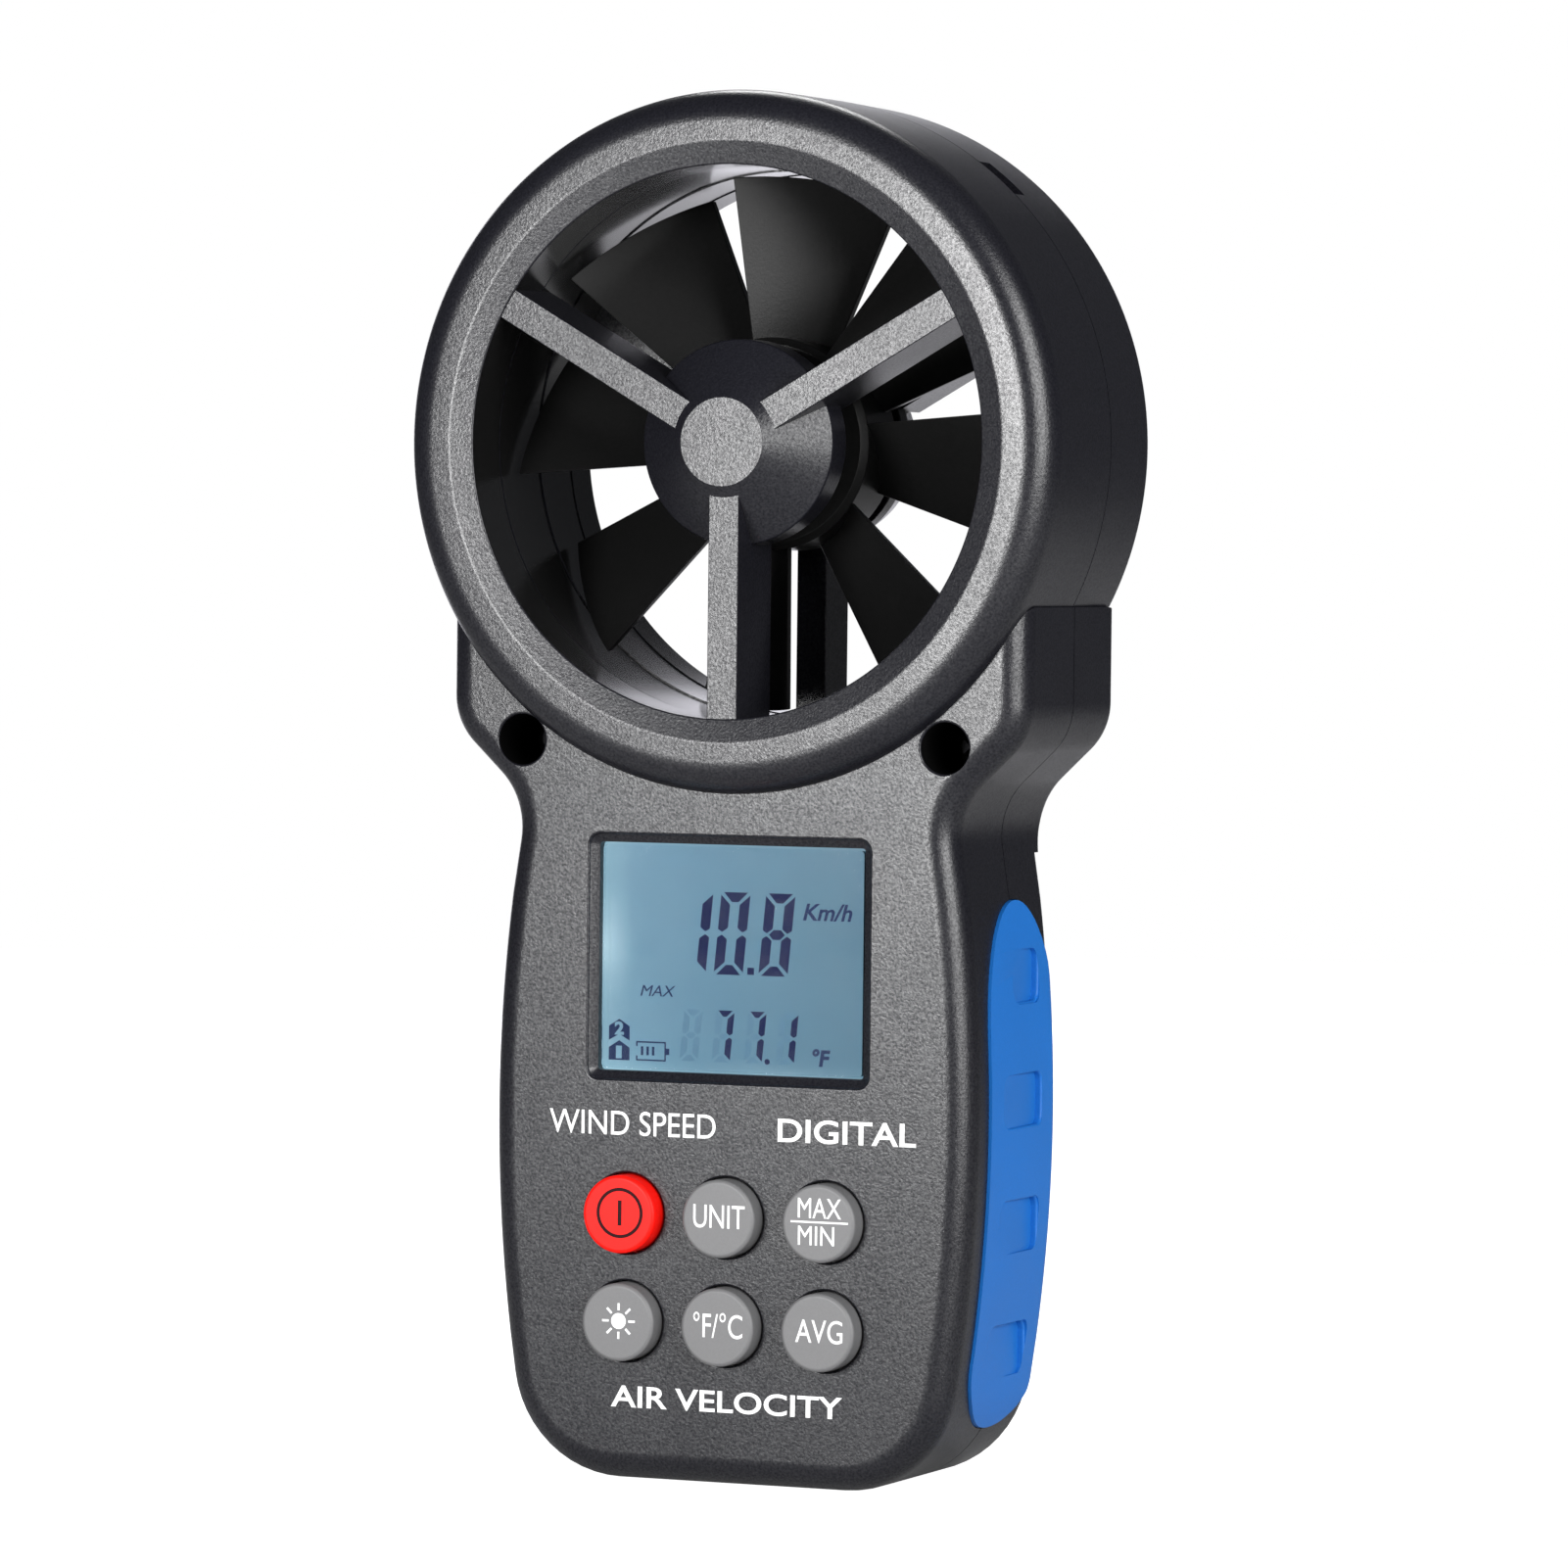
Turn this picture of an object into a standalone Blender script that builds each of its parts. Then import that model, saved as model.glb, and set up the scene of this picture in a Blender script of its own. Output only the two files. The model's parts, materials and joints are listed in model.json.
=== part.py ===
"""A handheld vane anemometer: an air ring with a free-spinning rotor on top of a handle.

Run with: blender --background --python part.py
The object stands upright on its lower end: +Z is up, the display faces -Y and +X is on the viewer's right.
The origin is at the middle of the bounding box's bottom. Sizes below are millimetres; MM turns them to metres.
"""

import math

import bmesh
import bpy
from mathutils import Matrix, Vector

MM = 0.001

# Driving dimensions.
HEIGHT = 165.0
RING_RADIUS = 41.5
DEPTH = 35.0
FACE_SETBACK = 3.8  # the handle's face lies this far behind the ring's front
BACK_SETBACK = 2.4  # and the handle's back this far in front of the ring's back
SEAM_SETBACK = 19.7  # the joint between the two case halves, behind the ring's front
DUCT_RADIUS = 32.6
EDGE_RADIUS = 3.4
WALL = 2.6
CLEARANCE = 0.3
SEAM_GAP = 0.15  # each case half stops this far short of the seam
BUTTON_PITCH = 12.85
BUTTON_RADIUS = 4.65
BUTTON_TRAVEL = 0.8
BLADES = 8
BLADE_PITCH = math.radians(37.5)  # angle between a blade and the plane of the disc
FIRST_BLADE = math.radians(-7.9)
SPOKE_ANGLES = [math.radians(angle) for angle in (30, 150, 270)]

# Planes across the depth.
FRONT = -DEPTH / 2
BACK = DEPTH / 2
FACE = FRONT + FACE_SETBACK
HANDLE_BACK = BACK - BACK_SETBACK
SEAM = FRONT + SEAM_SETBACK
RING_Z = HEIGHT - RING_RADIUS
INNER_FACE = FACE + 2.2
BOARD_FRONT = INNER_FACE + 3.9
BOARD_BACK = BOARD_FRONT + 1.6

# Places on the face, as x and height.
SCREEN_Z = 62.35
SCREEN_SIZE = (36.5, 29.5)
SCREEN_RECESS = 0.8
SCREEN_LEDGE = 1.15  # width of the recess's floor, round the opening
BUTTON_TOP_ROW = 31.85
CASE_SCREW_X = 27.2
CASE_SCREW_Z = RING_Z - 35.57
LOWER_SCREW_X = 21.0
LOWER_SCREW_Z = 13.5
BOARD_POSTS = [(-22.0, 72.0), (22.0, 72.0), (-22.0, 27.0), (22.0, 27.0)]
TRIPOD_Z = 71.0

# The battery compartment, with its door in the handle's back.
BATTERY_SIZE = (26.5, 17.3, 46.4)
TRAY_X = 13.9
TRAY_BOTTOM = 5.8
TRAY_TOP = 62.2
TRAY_WALL = 1.2
TRAY_FRONT = BOARD_BACK + 0.5
DOOR_BOTTOM = 7.0
DOOR_TOP = 62.6
DOOR_HALF_WIDTH = 14.4
DOOR_THICKNESS = 1.6

GRIP_CENTRE_Y = 3.2
GRIP_HALF_WIDTH = 10.7
GRIP_STRAIGHT = (15.0, 53.3)
GRIP_END_HEIGHTS = (8.2, 16.4)

RING_STEPS = 56
HUB_STEPS = 28
SMALL_STEPS = 14
MATERIALS = {
    "case_plastic": ((0.045, 0.045, 0.05), 0.45, 0.0),
    "rotor_plastic": ((0.02, 0.02, 0.02), 0.4, 0.0),
    "grip_rubber": ((0.03, 0.2, 0.62), 0.5, 0.0),
    "button_grey": ((0.3, 0.3, 0.31), 0.5, 0.0),
    "button_red": ((0.8, 0.03, 0.03), 0.4, 0.0),
    "steel": ((0.6, 0.6, 0.6), 0.3, 1.0),
    "brass": ((0.75, 0.55, 0.25), 0.3, 1.0),
    "lens_clear": ((0.8, 0.85, 0.88), 0.05, 0.0),
    "lcd_glass": ((0.16, 0.32, 0.42), 0.2, 0.0),
    "diffuser_white": ((0.8, 0.82, 0.85), 0.5, 0.0),
    "board_green": ((0.02, 0.2, 0.08), 0.5, 0.0),
    "battery_skin": ((0.12, 0.12, 0.14), 0.35, 0.0),
    "black_rubber": ((0.03, 0.03, 0.03), 0.7, 0.0),
    "black_plastic": ((0.02, 0.02, 0.02), 0.45, 0.0),
    "red_insulation": ((0.6, 0.02, 0.02), 0.5, 0.0),
}


def clear_scene():
    for obj in list(bpy.data.objects):
        bpy.data.objects.remove(obj)


def material(name):
    """The named Principled BSDF material, made the first time it is asked for."""
    found = bpy.data.materials.get(name)
    if found:
        return found
    colour, roughness, metallic = MATERIALS[name]
    made = bpy.data.materials.new(name)
    made.use_nodes = True
    shader = made.node_tree.nodes["Principled BSDF"]
    shader.inputs["Base Color"].default_value = (*colour, 1.0)
    shader.inputs["Roughness"].default_value = roughness
    shader.inputs["Metallic"].default_value = metallic
    return made


# ---------------------------------------------------------------- mesh helpers


def add_object(name, mesh_data):
    """Puts a bmesh, in millimetres, into the scene as an object whose faces point outwards."""
    bmesh.ops.recalc_face_normals(mesh_data, faces=mesh_data.faces)
    bmesh.ops.scale(mesh_data, vec=(MM, MM, MM), verts=mesh_data.verts)
    mesh = bpy.data.meshes.new(name)
    mesh_data.to_mesh(mesh)
    mesh_data.free()
    obj = bpy.data.objects.new(name, mesh)
    bpy.context.scene.collection.objects.link(obj)
    return obj


def helper(obj):
    """Marks an object as a tool for Booleans, which isn't part of the model."""
    obj.hide_render = True
    obj.display_type = "WIRE"
    return obj


# The exact solver leaves gaps in these, where the ring and the handle share a seam plane.
MANIFOLD_SOLVED = ("front_case", "rear_case", "rear_shell", "shoulder_back")


def boolean(obj, operation, tools):
    for tool in tools:
        modifier = obj.modifiers.new(f"{operation.lower()}_{tool.name}"[:60], "BOOLEAN")
        modifier.operation = operation
        modifier.object = helper(tool)
        if obj.name in MANIFOLD_SOLVED:
            modifier.solver = "MANIFOLD"
    return obj


def cut(obj, *tools):
    return boolean(obj, "DIFFERENCE", tools)


def join(obj, *tools):
    return boolean(obj, "UNION", tools)


def keep_inside(obj, *tools):
    return boolean(obj, "INTERSECT", tools)


def finish_part(obj, material_name, origin=None):
    """Gives a sub-part its material and smooth shading, and moves its origin if it has a joint."""
    obj.data.materials.clear()
    obj.data.materials.append(material(material_name))
    obj.data.shade_smooth()
    obj.data.set_sharp_from_angle(angle=math.radians(35))
    if origin:
        place = Vector(origin) * MM
        obj.data.transform(Matrix.Translation(-place))
        obj.location = place
    return obj


def loft(mesh_data, loops):
    """A closed solid through loops that have the same number of points, with flat ends."""
    rows = [[mesh_data.verts.new(point) for point in loop] for loop in loops]
    count = len(rows[0])
    for low, high in zip(rows, rows[1:]):
        for index in range(count):
            after = (index + 1) % count
            mesh_data.faces.new((low[index], low[after], high[after], high[index]))
    mesh_data.faces.new(rows[0][::-1])
    mesh_data.faces.new(rows[-1])


def across(outline, y):
    """Points of an (x, z) outline at one depth."""
    return [(x, y, z) for x, z in outline]


def prism(name, outline, front, back):
    """An (x, z) outline extruded between two depths."""
    mesh_data = bmesh.new()
    loft(mesh_data, [across(outline, front), across(outline, back)])
    return add_object(name, mesh_data)


def block(name, low, high):
    x0, y0, z0 = low
    x1, y1, z1 = high
    return prism(name, [(x0, z0), (x1, z0), (x1, z1), (x0, z1)], y0, y1)


def turned(name, profile, x=0.0, z=0.0, steps=SMALL_STEPS, closed=True):
    """A solid turned about an axis along Y at (x, z), from a profile of (radius, y) points.

    A closed profile is a ring's section. An open one starts and ends on the axis.
    """
    mesh_data = bmesh.new()
    points = [mesh_data.verts.new((x + radius, y, z)) for radius, y in profile]
    pairs = list(zip(points, points[1:]))
    if closed:
        pairs.append((points[-1], points[0]))
    edges = [mesh_data.edges.new(pair) for pair in pairs]
    bmesh.ops.spin(
        mesh_data,
        geom=points + edges,
        cent=(x, 0, z),
        axis=(0, 1, 0),
        angle=2 * math.pi,
        steps=steps,
        use_merge=True,
    )
    bmesh.ops.remove_doubles(mesh_data, verts=mesh_data.verts, dist=0.001)
    return add_object(name, mesh_data)


def cylinder(name, x, z, radius, front, back, steps=SMALL_STEPS):
    return turned(name, [(0, front), (radius, front), (radius, back), (0, back)], x, z, steps, closed=False)


def tube(name, points, diameter, material_name):
    """A lead along a smooth curve through the given points, as a closed tube."""
    dense = []
    for before, start, end, after in zip([points[0]] + points, points, points[1:], points[2:] + [points[-1]]):
        before, start, end, after = (Vector(point) for point in (before, start, end, after))
        for step in range(3):
            t = step / 3
            dense.append(
                0.5
                * (
                    2 * start
                    + (end - before) * t
                    + (2 * before - 5 * start + 4 * end - after) * t**2
                    + (3 * start - before - 3 * end + after) * t**3
                )
            )
    dense.append(Vector(points[-1]))
    curve = bpy.data.curves.new(name, "CURVE")
    curve.dimensions = "3D"
    curve.bevel_depth = diameter / 2 * MM
    curve.bevel_resolution = 2
    curve.use_fill_caps = True
    spline = curve.splines.new("POLY")
    spline.points.add(len(dense) - 1)
    for spline_point, place in zip(spline.points, dense):
        spline_point.co = (*(place * MM), 1.0)
    obj = bpy.data.objects.new(name, curve)
    bpy.context.scene.collection.objects.link(obj)
    curve.materials.append(material(material_name))
    return obj


# -------------------------------------------------------------------- outlines


def arc(centre, radius, start, end, steps):
    """Points on an arc, with the angles in radians."""
    turns = [start + (end - start) * step / steps for step in range(steps + 1)]
    return [(centre[0] + radius * math.cos(turn), centre[1] + radius * math.sin(turn)) for turn in turns]


def rounded(corners, steps=4):
    """An outline from (x, z, radius) corners, each rounded by an arc of its radius."""
    outline = []
    for index, (x, z, radius) in enumerate(corners):
        corner = Vector((x, z))
        if not radius:
            outline.append((x, z))
            continue
        back = (Vector(corners[index - 1][:2]) - corner).normalized()
        ahead = (Vector(corners[(index + 1) % len(corners)][:2]) - corner).normalized()
        half_angle = back.angle(ahead) / 2
        centre = corner + (back + ahead).normalized() * radius / math.sin(half_angle)
        start = corner + back * radius / math.tan(half_angle) - centre
        end = corner + ahead * radius / math.tan(half_angle) - centre
        first = math.atan2(start.y, start.x)
        turn = (math.atan2(end.y, end.x) - first + math.pi) % (2 * math.pi) - math.pi
        outline += arc(centre, radius, first, first + turn, steps)
    return outline


def rounded_box(width, height, radius, x=0.0, z=0.0, steps=3):
    half_width = width / 2
    half_height = height / 2
    return rounded(
        [
            (x + half_width, z - half_height, radius),
            (x + half_width, z + half_height, radius),
            (x - half_width, z + half_height, radius),
            (x - half_width, z - half_height, radius),
        ],
        steps,
    )


def grown(outline, distance):
    """The outline moved outwards by a distance, or inwards by a negative one. It runs anticlockwise."""
    moved = []
    for index, point in enumerate(outline):
        here = Vector(point)
        before = (here - Vector(outline[index - 1])).normalized()
        after = (Vector(outline[(index + 1) % len(outline)]) - here).normalized()
        out_before = Vector((before.y, -before.x))
        out_after = Vector((after.y, -after.x))
        out = (out_before + out_after).normalized()
        reach = distance / out.dot(out_before)
        moved.append((here.x + out.x * reach, here.y + out.y * reach))
    return moved


BELLY_RADIUS = 206.0
BELLY_HALF_WIDTH = 30.93
BELLY_Z = 44.0
SHOULDER_X = 37.15
SHOULDER_CORNER_Z = 89.7
SHOULDER_TOP_Z = 104.5
WAIST_Z = 80.6
FOOT_RADIUS = 14.0


def belly_x(z):
    """Half width of the handle on its long side arc."""
    return BELLY_HALF_WIDTH - BELLY_RADIUS + math.sqrt(BELLY_RADIUS**2 - (z - BELLY_Z) ** 2)


def handle_outline():
    """The handle seen from the front: foot, bulging sides, waist and the two shoulders under the ring."""
    side_heights = [18 + 13 * step for step in range(5)]
    right = [(belly_x(0) + 0.5, 0.0, FOOT_RADIUS)]
    right += [(belly_x(z), z, 0) for z in side_heights]
    right += [(belly_x(WAIST_Z), WAIST_Z, 9.0)]
    right += [(SHOULDER_X, SHOULDER_CORNER_Z, 8.0)]
    right += [(SHOULDER_X, SHOULDER_TOP_Z, 0)]
    left = [(-x, z, radius) for x, z, radius in reversed(right)]
    return rounded(right + left, 4)


def edge_rows(radius, steps=3):
    """(inset, setback) pairs down a rounded edge, from the flat face to the side."""
    turns = [math.pi / 2 * step / steps for step in range(steps + 1)]
    return [(radius * (1 - math.sin(turn)), radius * (1 - math.cos(turn))) for turn in turns]


def rounded_prism(name, outline, front, back, front_radius=0.0, back_radius=0.0):
    """An outline extruded along Y, with its front and back edges rounded."""
    loops = []
    for inset, setback in edge_rows(front_radius) if front_radius else [(0, 0)]:
        loops.append(across(grown(outline, -inset), front + setback))
    for inset, setback in reversed(edge_rows(back_radius) if back_radius else [(0, 0)]):
        loops.append(across(grown(outline, -inset), back - setback))
    mesh_data = bmesh.new()
    loft(mesh_data, loops)
    return add_object(name, mesh_data)


def handle_body(name, grow):
    """The whole handle, front to back, grown outwards by a distance on every side."""
    radius = EDGE_RADIUS + grow
    outline = grown(handle_outline(), grow)
    return rounded_prism(name, outline, FACE - grow, HANDLE_BACK + grow, radius, radius)


# ---------------------------------------------------------------- case halves


def duct_core(name, radius, front, back):
    return cylinder(name, 0, RING_Z, radius, front, back, RING_STEPS)


def spokes(prefix, front, back, inner):
    """Three flat spokes that reach from the hub into the duct's wall."""
    half_width = 1.9
    outer = DUCT_RADIUS + 1.2
    made = []
    for number, angle in enumerate(SPOKE_ANGLES, 1):
        along = Vector((math.cos(angle), math.sin(angle)))
        side = Vector((-along.y, along.x)) * half_width
        centre = Vector((0, RING_Z))
        outline = [
            centre + along * inner - side,
            centre + along * outer - side,
            centre + along * outer + side,
            centre + along * inner + side,
        ]
        made.append(prism(f"{prefix}_spoke_{number}", [tuple(point) for point in outline], front, back))
    return made


def front_ring():
    """The front half of the air ring: rounded outside, a flat rim, and a shallow chamfer to the duct."""
    radius = 4.2
    rim = [(RING_RADIUS - inset, FRONT + setback) for inset, setback in edge_rows(radius)]
    profile = [(DUCT_RADIUS, SEAM + 1), (DUCT_RADIUS, FRONT + 0.6), (RING_RADIUS - 6.1, FRONT)]
    profile += rim + [(RING_RADIUS, SEAM + 1)]
    return turned("front_case", profile, 0, RING_Z, RING_STEPS)


def front_hub():
    """The cone in front of the rotor, with a skirt, and a boss behind it for the front bearing."""
    profile = [
        (0, FRONT),
        (5.35, FRONT),
        (12.2, FRONT + 4.6),
        (12.2, FRONT + 9.0),
        (10.9, FRONT + 9.0),
        (10.9, FRONT + 5.6),
        (4.6, FRONT + 2.4),
        (4.2, FRONT + 12.9),
        (2.8, FRONT + 12.9),
        (2.8, FRONT + 10.2),
        (0, FRONT + 10.2),
    ]
    return turned("front_hub", profile, 0, RING_Z, HUB_STEPS, closed=False)


def grip_outline(grow):
    """A grip's (y, z) outline: straight sides with half-elliptical ends."""
    half_width = GRIP_HALF_WIDTH + grow
    ends = []
    steps = 8
    for sign, base, height in zip((-1, 1), GRIP_STRAIGHT, GRIP_END_HEIGHTS):
        for step in range(steps + 1):
            turn = math.pi * step / steps
            ends.append((
                GRIP_CENTRE_Y + sign * half_width * math.cos(turn),
                base + sign * (height + grow) * math.sin(turn),
            ))
    return ends


def grip_prism(name, side, grow, inner_x):
    """The grip's outline extruded along X, outwards from inner_x on one side of the handle."""
    outline = grip_outline(grow)
    outer_x = 40.0
    mesh_data = bmesh.new()
    loft(mesh_data, [[(side * x, y, z) for y, z in outline] for x in (inner_x, outer_x)])
    return add_object(name, mesh_data)


def grip_pocket(name, side):
    """The cutter for the shallow pocket that a grip lies in."""
    pocket = grip_prism(name, side, CLEARANCE, 20.0)
    core = handle_body(f"{name}_core", -1.4)
    return cut(pocket, core)


def case_cavity(name, handle_span, channel_span):
    """The hollow of one case half: the handle's inside and the channel round the duct."""
    hollow = prism(name, grown(handle_outline(), -WALL), *handle_span)
    cut(hollow, duct_core(f"{name}_core", 36.0, FRONT - 1, BACK + 1))
    low, high = channel_span
    channel_profile = [(34.9, low), (39.2, low), (39.2, high), (34.9, high)]
    channel = turned(f"{name}_channel", channel_profile, 0, RING_Z, RING_STEPS)
    return channel, hollow


def half_space(name, front, back):
    """A block that is wider and taller than the whole object."""
    return block(name, (-2 * RING_RADIUS, front, -10), (2 * RING_RADIUS, back, HEIGHT + 10))


def screw_seat(name, x, z, mouth, floor, through):
    """A stepped hole: wide for a screw's head from mouth to floor, then narrow for its shank."""
    profile = [(0, mouth), (3.05, mouth), (3.05, floor), (1.6, floor), (1.6, through), (0, through)]
    return turned(name, profile, x, z, closed=False)


def screen_outline(inset, radius):
    """The screen recess's outline moved inwards."""
    width, height = SCREEN_SIZE
    return rounded_box(width - 2 * inset, height - 2 * inset, radius, z=SCREEN_Z)


def button_places():
    """(x, z) of the six buttons, left to right and top to bottom."""
    rows = (BUTTON_TOP_ROW, BUTTON_TOP_ROW - BUTTON_PITCH)
    return [(column * BUTTON_PITCH, z) for z in rows for column in (-1, 0, 1)]


def front_case():
    """The front shell: handle face, front of the air ring, front spokes and the cone hub."""
    case = front_ring()
    shell = rounded_prism("front_shell", handle_outline(), FACE, SEAM + 2, EDGE_RADIUS)
    cut(shell, duct_core("front_shell_core", 33.6, FRONT - 1, SEAM + 3))
    join(case, shell)
    cut(case, *case_cavity("front_hollow", (INNER_FACE, SEAM + 5), (FRONT + 2.6, SEAM + 4)))
    cut(case, half_space("behind_seam", SEAM - SEAM_GAP, SEAM + 9))
    join(case, front_hub(), *spokes("front", FRONT + 0.9, FRONT + 11.0, 4.5))
    boss_front = INNER_FACE - 0.3
    seats = []
    for side, label in ((-1, "left"), (1, "right")):
        boss = cylinder(f"front_boss_{label}", side * CASE_SCREW_X, CASE_SCREW_Z, 4.6, boss_front, SEAM - 0.6)
        lower = cylinder(
            f"front_lower_boss_{label}", side * LOWER_SCREW_X, LOWER_SCREW_Z, 3.2, boss_front, SEAM - 2.0
        )
        join(case, boss, lower)
        seats.append(
            screw_seat(f"front_seat_{label}", side * CASE_SCREW_X, CASE_SCREW_Z, FACE - 1, SEAM - 4.2, SEAM)
        )
        thread_hole = cylinder(
            f"front_thread_{label}", side * LOWER_SCREW_X, LOWER_SCREW_Z, 1.55, SEAM - 9.5, SEAM
        )
        seats.append(thread_hole)
        seats.append(grip_pocket(f"front_pocket_{label}", side))
    for number, (x, z) in enumerate(BOARD_POSTS, 1):
        post = cylinder(f"board_post_{number}", x, z, 2.2, FACE + 0.6, BOARD_FRONT - CLEARANCE)
        join(case, post)
        seats.append(cylinder(f"board_post_hole_{number}", x, z, 1.25, INNER_FACE + 0.4, BOARD_FRONT))
    for number, (x, z) in enumerate(button_places(), 1):
        hole_radius = BUTTON_RADIUS + CLEARANCE
        seats.append(cylinder(f"button_hole_{number}", x, z, hole_radius, FACE - 1, INNER_FACE + 1, 24))
    seats.append(prism("screen_recess", screen_outline(0, 1.2), FACE - 1, FACE + SCREEN_RECESS))
    seats.append(prism("screen_opening", screen_outline(SCREEN_LEDGE, 0.8), FACE - 2, INNER_FACE + 1))
    cut(case, *seats)
    return finish_part(case, "case_plastic")


def rear_ring():
    """The rear half of the air ring, with the duct slightly wider behind the rotor and a lip at its exit."""
    radius = 3.0
    rim = [(RING_RADIUS - inset, BACK - setback) for inset, setback in edge_rows(radius)]
    profile = [
        (DUCT_RADIUS + 0.3, SEAM - 1),
        (DUCT_RADIUS + 0.3, BACK - 5.8),
        (DUCT_RADIUS + 0.1, BACK - 5.7),
        (DUCT_RADIUS + 0.1, BACK - 0.8),
        (DUCT_RADIUS + 0.9, BACK),
    ]
    profile += rim + [(RING_RADIUS, SEAM - 1)]
    return turned("rear_case", profile, 0, RING_Z, RING_STEPS)


def rear_hub():
    """The hub behind the rotor: a cup for the pickup, with a boss for the rear bearing."""
    profile = [
        (0, BACK - 0.6),
        (10.2, BACK - 0.6),
        (11.2, BACK - 1.6),
        (12.4, BACK - 6.5),
        (12.4, BACK - 8.8),
        (11.0, BACK - 8.8),
        (11.0, BACK - 2.4),
        (4.2, BACK - 2.4),
        (4.2, BACK - 10.6),
        (2.8, BACK - 10.6),
        (2.8, BACK - 8.1),
        (0, BACK - 8.1),
    ]
    return turned("rear_hub", profile, 0, RING_Z, HUB_STEPS, closed=False)


def door_opening():
    """The stepped hole in the handle's back for the battery door and its two tabs."""
    opening_z = (DOOR_BOTTOM + DOOR_TOP) / 2
    outline = rounded_box(
        2 * (DOOR_HALF_WIDTH + CLEARANCE), DOOR_TOP - DOOR_BOTTOM + 2 * CLEARANCE, 2.5, z=opening_z
    )
    seat = prism("door_seat", outline, HANDLE_BACK - DOOR_THICKNESS - CLEARANCE, HANDLE_BACK + 1)
    tray_outline = [
        (-TRAY_X, TRAY_BOTTOM + 7.5),
        (TRAY_X, TRAY_BOTTOM + 7.5),
        (TRAY_X, TRAY_TOP),
        (-TRAY_X, TRAY_TOP),
    ]
    inside = prism("tray_inside", tray_outline, TRAY_FRONT + 0.9, HANDLE_BACK - 1)
    slots = [
        block(
            f"tab_slot_{label}",
            (side * 8.5 - 3.2, HANDLE_BACK - 4.4, DOOR_TOP - 3.0),
            (side * 8.5 + 3.2, HANDLE_BACK - 1.0, DOOR_TOP + 2.0),
        )
        for side, label in ((-1, "left"), (1, "right"))
    ]
    return [seat, inside, *slots]


def shoulder_back():
    """The back of the shoulders, as deep as the air ring and sloping down to the handle's back below them."""
    outline = grown(handle_outline(), -0.04)
    pad = rounded_prism("shoulder_back", outline, SEAM - 1.5, BACK, 0, EDGE_RADIUS)
    section = [(SEAM - 3, 75), (13.6, 75), (BACK, 88.5), (BACK + 1, 88.5), (BACK + 1, 110), (SEAM - 3, 110)]
    mesh_data = bmesh.new()
    loft(mesh_data, [[(x, y, z) for y, z in section] for x in (-RING_RADIUS, RING_RADIUS)])
    return keep_inside(pad, add_object("shoulder_slope", mesh_data))


def rear_case():
    """The rear shell: handle back with the battery tray, rear of the air ring, spokes and rear hub."""
    case = rear_ring()
    shell = rounded_prism("rear_shell", handle_outline(), SEAM - 2, HANDLE_BACK, 0, EDGE_RADIUS)
    join(shell, shoulder_back())
    cut(shell, duct_core("rear_shell_core", 33.8, SEAM - 3, BACK + 1))
    join(case, shell)
    cut(case, *case_cavity("rear_hollow", (SEAM - 5, HANDLE_BACK - WALL), (SEAM - 4, BACK - 2.6)))
    cut(case, half_space("before_seam", SEAM - 9, SEAM + SEAM_GAP))
    tray = block(
        "battery_tray",
        (-TRAY_X - TRAY_WALL, TRAY_FRONT, TRAY_BOTTOM - TRAY_WALL),
        (TRAY_X + TRAY_WALL, HANDLE_BACK - WALL + 0.5, TRAY_TOP + 3.0),
    )
    tripod_boss = cylinder("tripod_boss", 0, TRIPOD_Z, 6.6, HANDLE_BACK - 10.4, HANDLE_BACK - WALL + 0.5, 20)
    join(case, tray, tripod_boss, rear_hub(), *spokes("rear", BACK - 7.2, BACK - 0.2, 11.6))
    seats = door_opening()
    for side, label in ((-1, "left"), (1, "right")):
        boss = cylinder(
            f"rear_boss_{label}", side * CASE_SCREW_X, CASE_SCREW_Z, 3.6, SEAM + 0.4, HANDLE_BACK - WALL + 0.5
        )
        lower = cylinder(
            f"rear_lower_boss_{label}", side * LOWER_SCREW_X, LOWER_SCREW_Z, 4.6, SEAM - 1.6, HANDLE_BACK - 1.5
        )
        join(case, boss, lower)
        seats.append(
            cylinder(f"rear_thread_{label}", side * CASE_SCREW_X, CASE_SCREW_Z, 1.55, SEAM, SEAM + 9.0)
        )
        seats.append(
            screw_seat(
                f"rear_seat_{label}", side * LOWER_SCREW_X, LOWER_SCREW_Z, HANDLE_BACK + 1, SEAM + 3.4, SEAM - 2
            )
        )
        seats.append(grip_pocket(f"rear_pocket_{label}", side))
        notch_angle = math.radians(90 - side * 40)
        notch = block(f"pry_notch_{label}", (-3.0, SEAM - 1, -1.0), (3.0, SEAM + 2.0, 1.5))
        rim = Vector((math.cos(notch_angle), math.sin(notch_angle))) * RING_RADIUS
        notch.matrix_world = Matrix.Translation(Vector((rim.x, 0, RING_Z + rim.y)) * MM) @ Matrix.Rotation(
            math.pi / 2 - notch_angle, 4, "Y"
        )
        seats.append(notch)
    seats.append(cylinder("tripod_hole", 0, TRIPOD_Z, 5.0, HANDLE_BACK - 8.9, HANDLE_BACK + 1, 20))
    seats.append(cylinder("door_screw_hole", 0, DOOR_BOTTOM + 3.4, 1.7, HANDLE_BACK - 7.5, HANDLE_BACK, 16))
    lead_slot = block("lead_slot", (-3.5, TRAY_FRONT + 1.4, TRAY_TOP - 1), (3.5, TRAY_FRONT + 4.4, TRAY_TOP + 5))
    seats.append(lead_slot)
    seats += sensor_cuts()
    cut(case, *seats)
    return finish_part(case, "case_plastic")


CABLE_GROOVE_Y = (BACK - 5.3, BACK - 3.3)
THERMISTOR_ANGLE = math.radians(-48)
THERMISTOR_Y = BACK - 7.0


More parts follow.
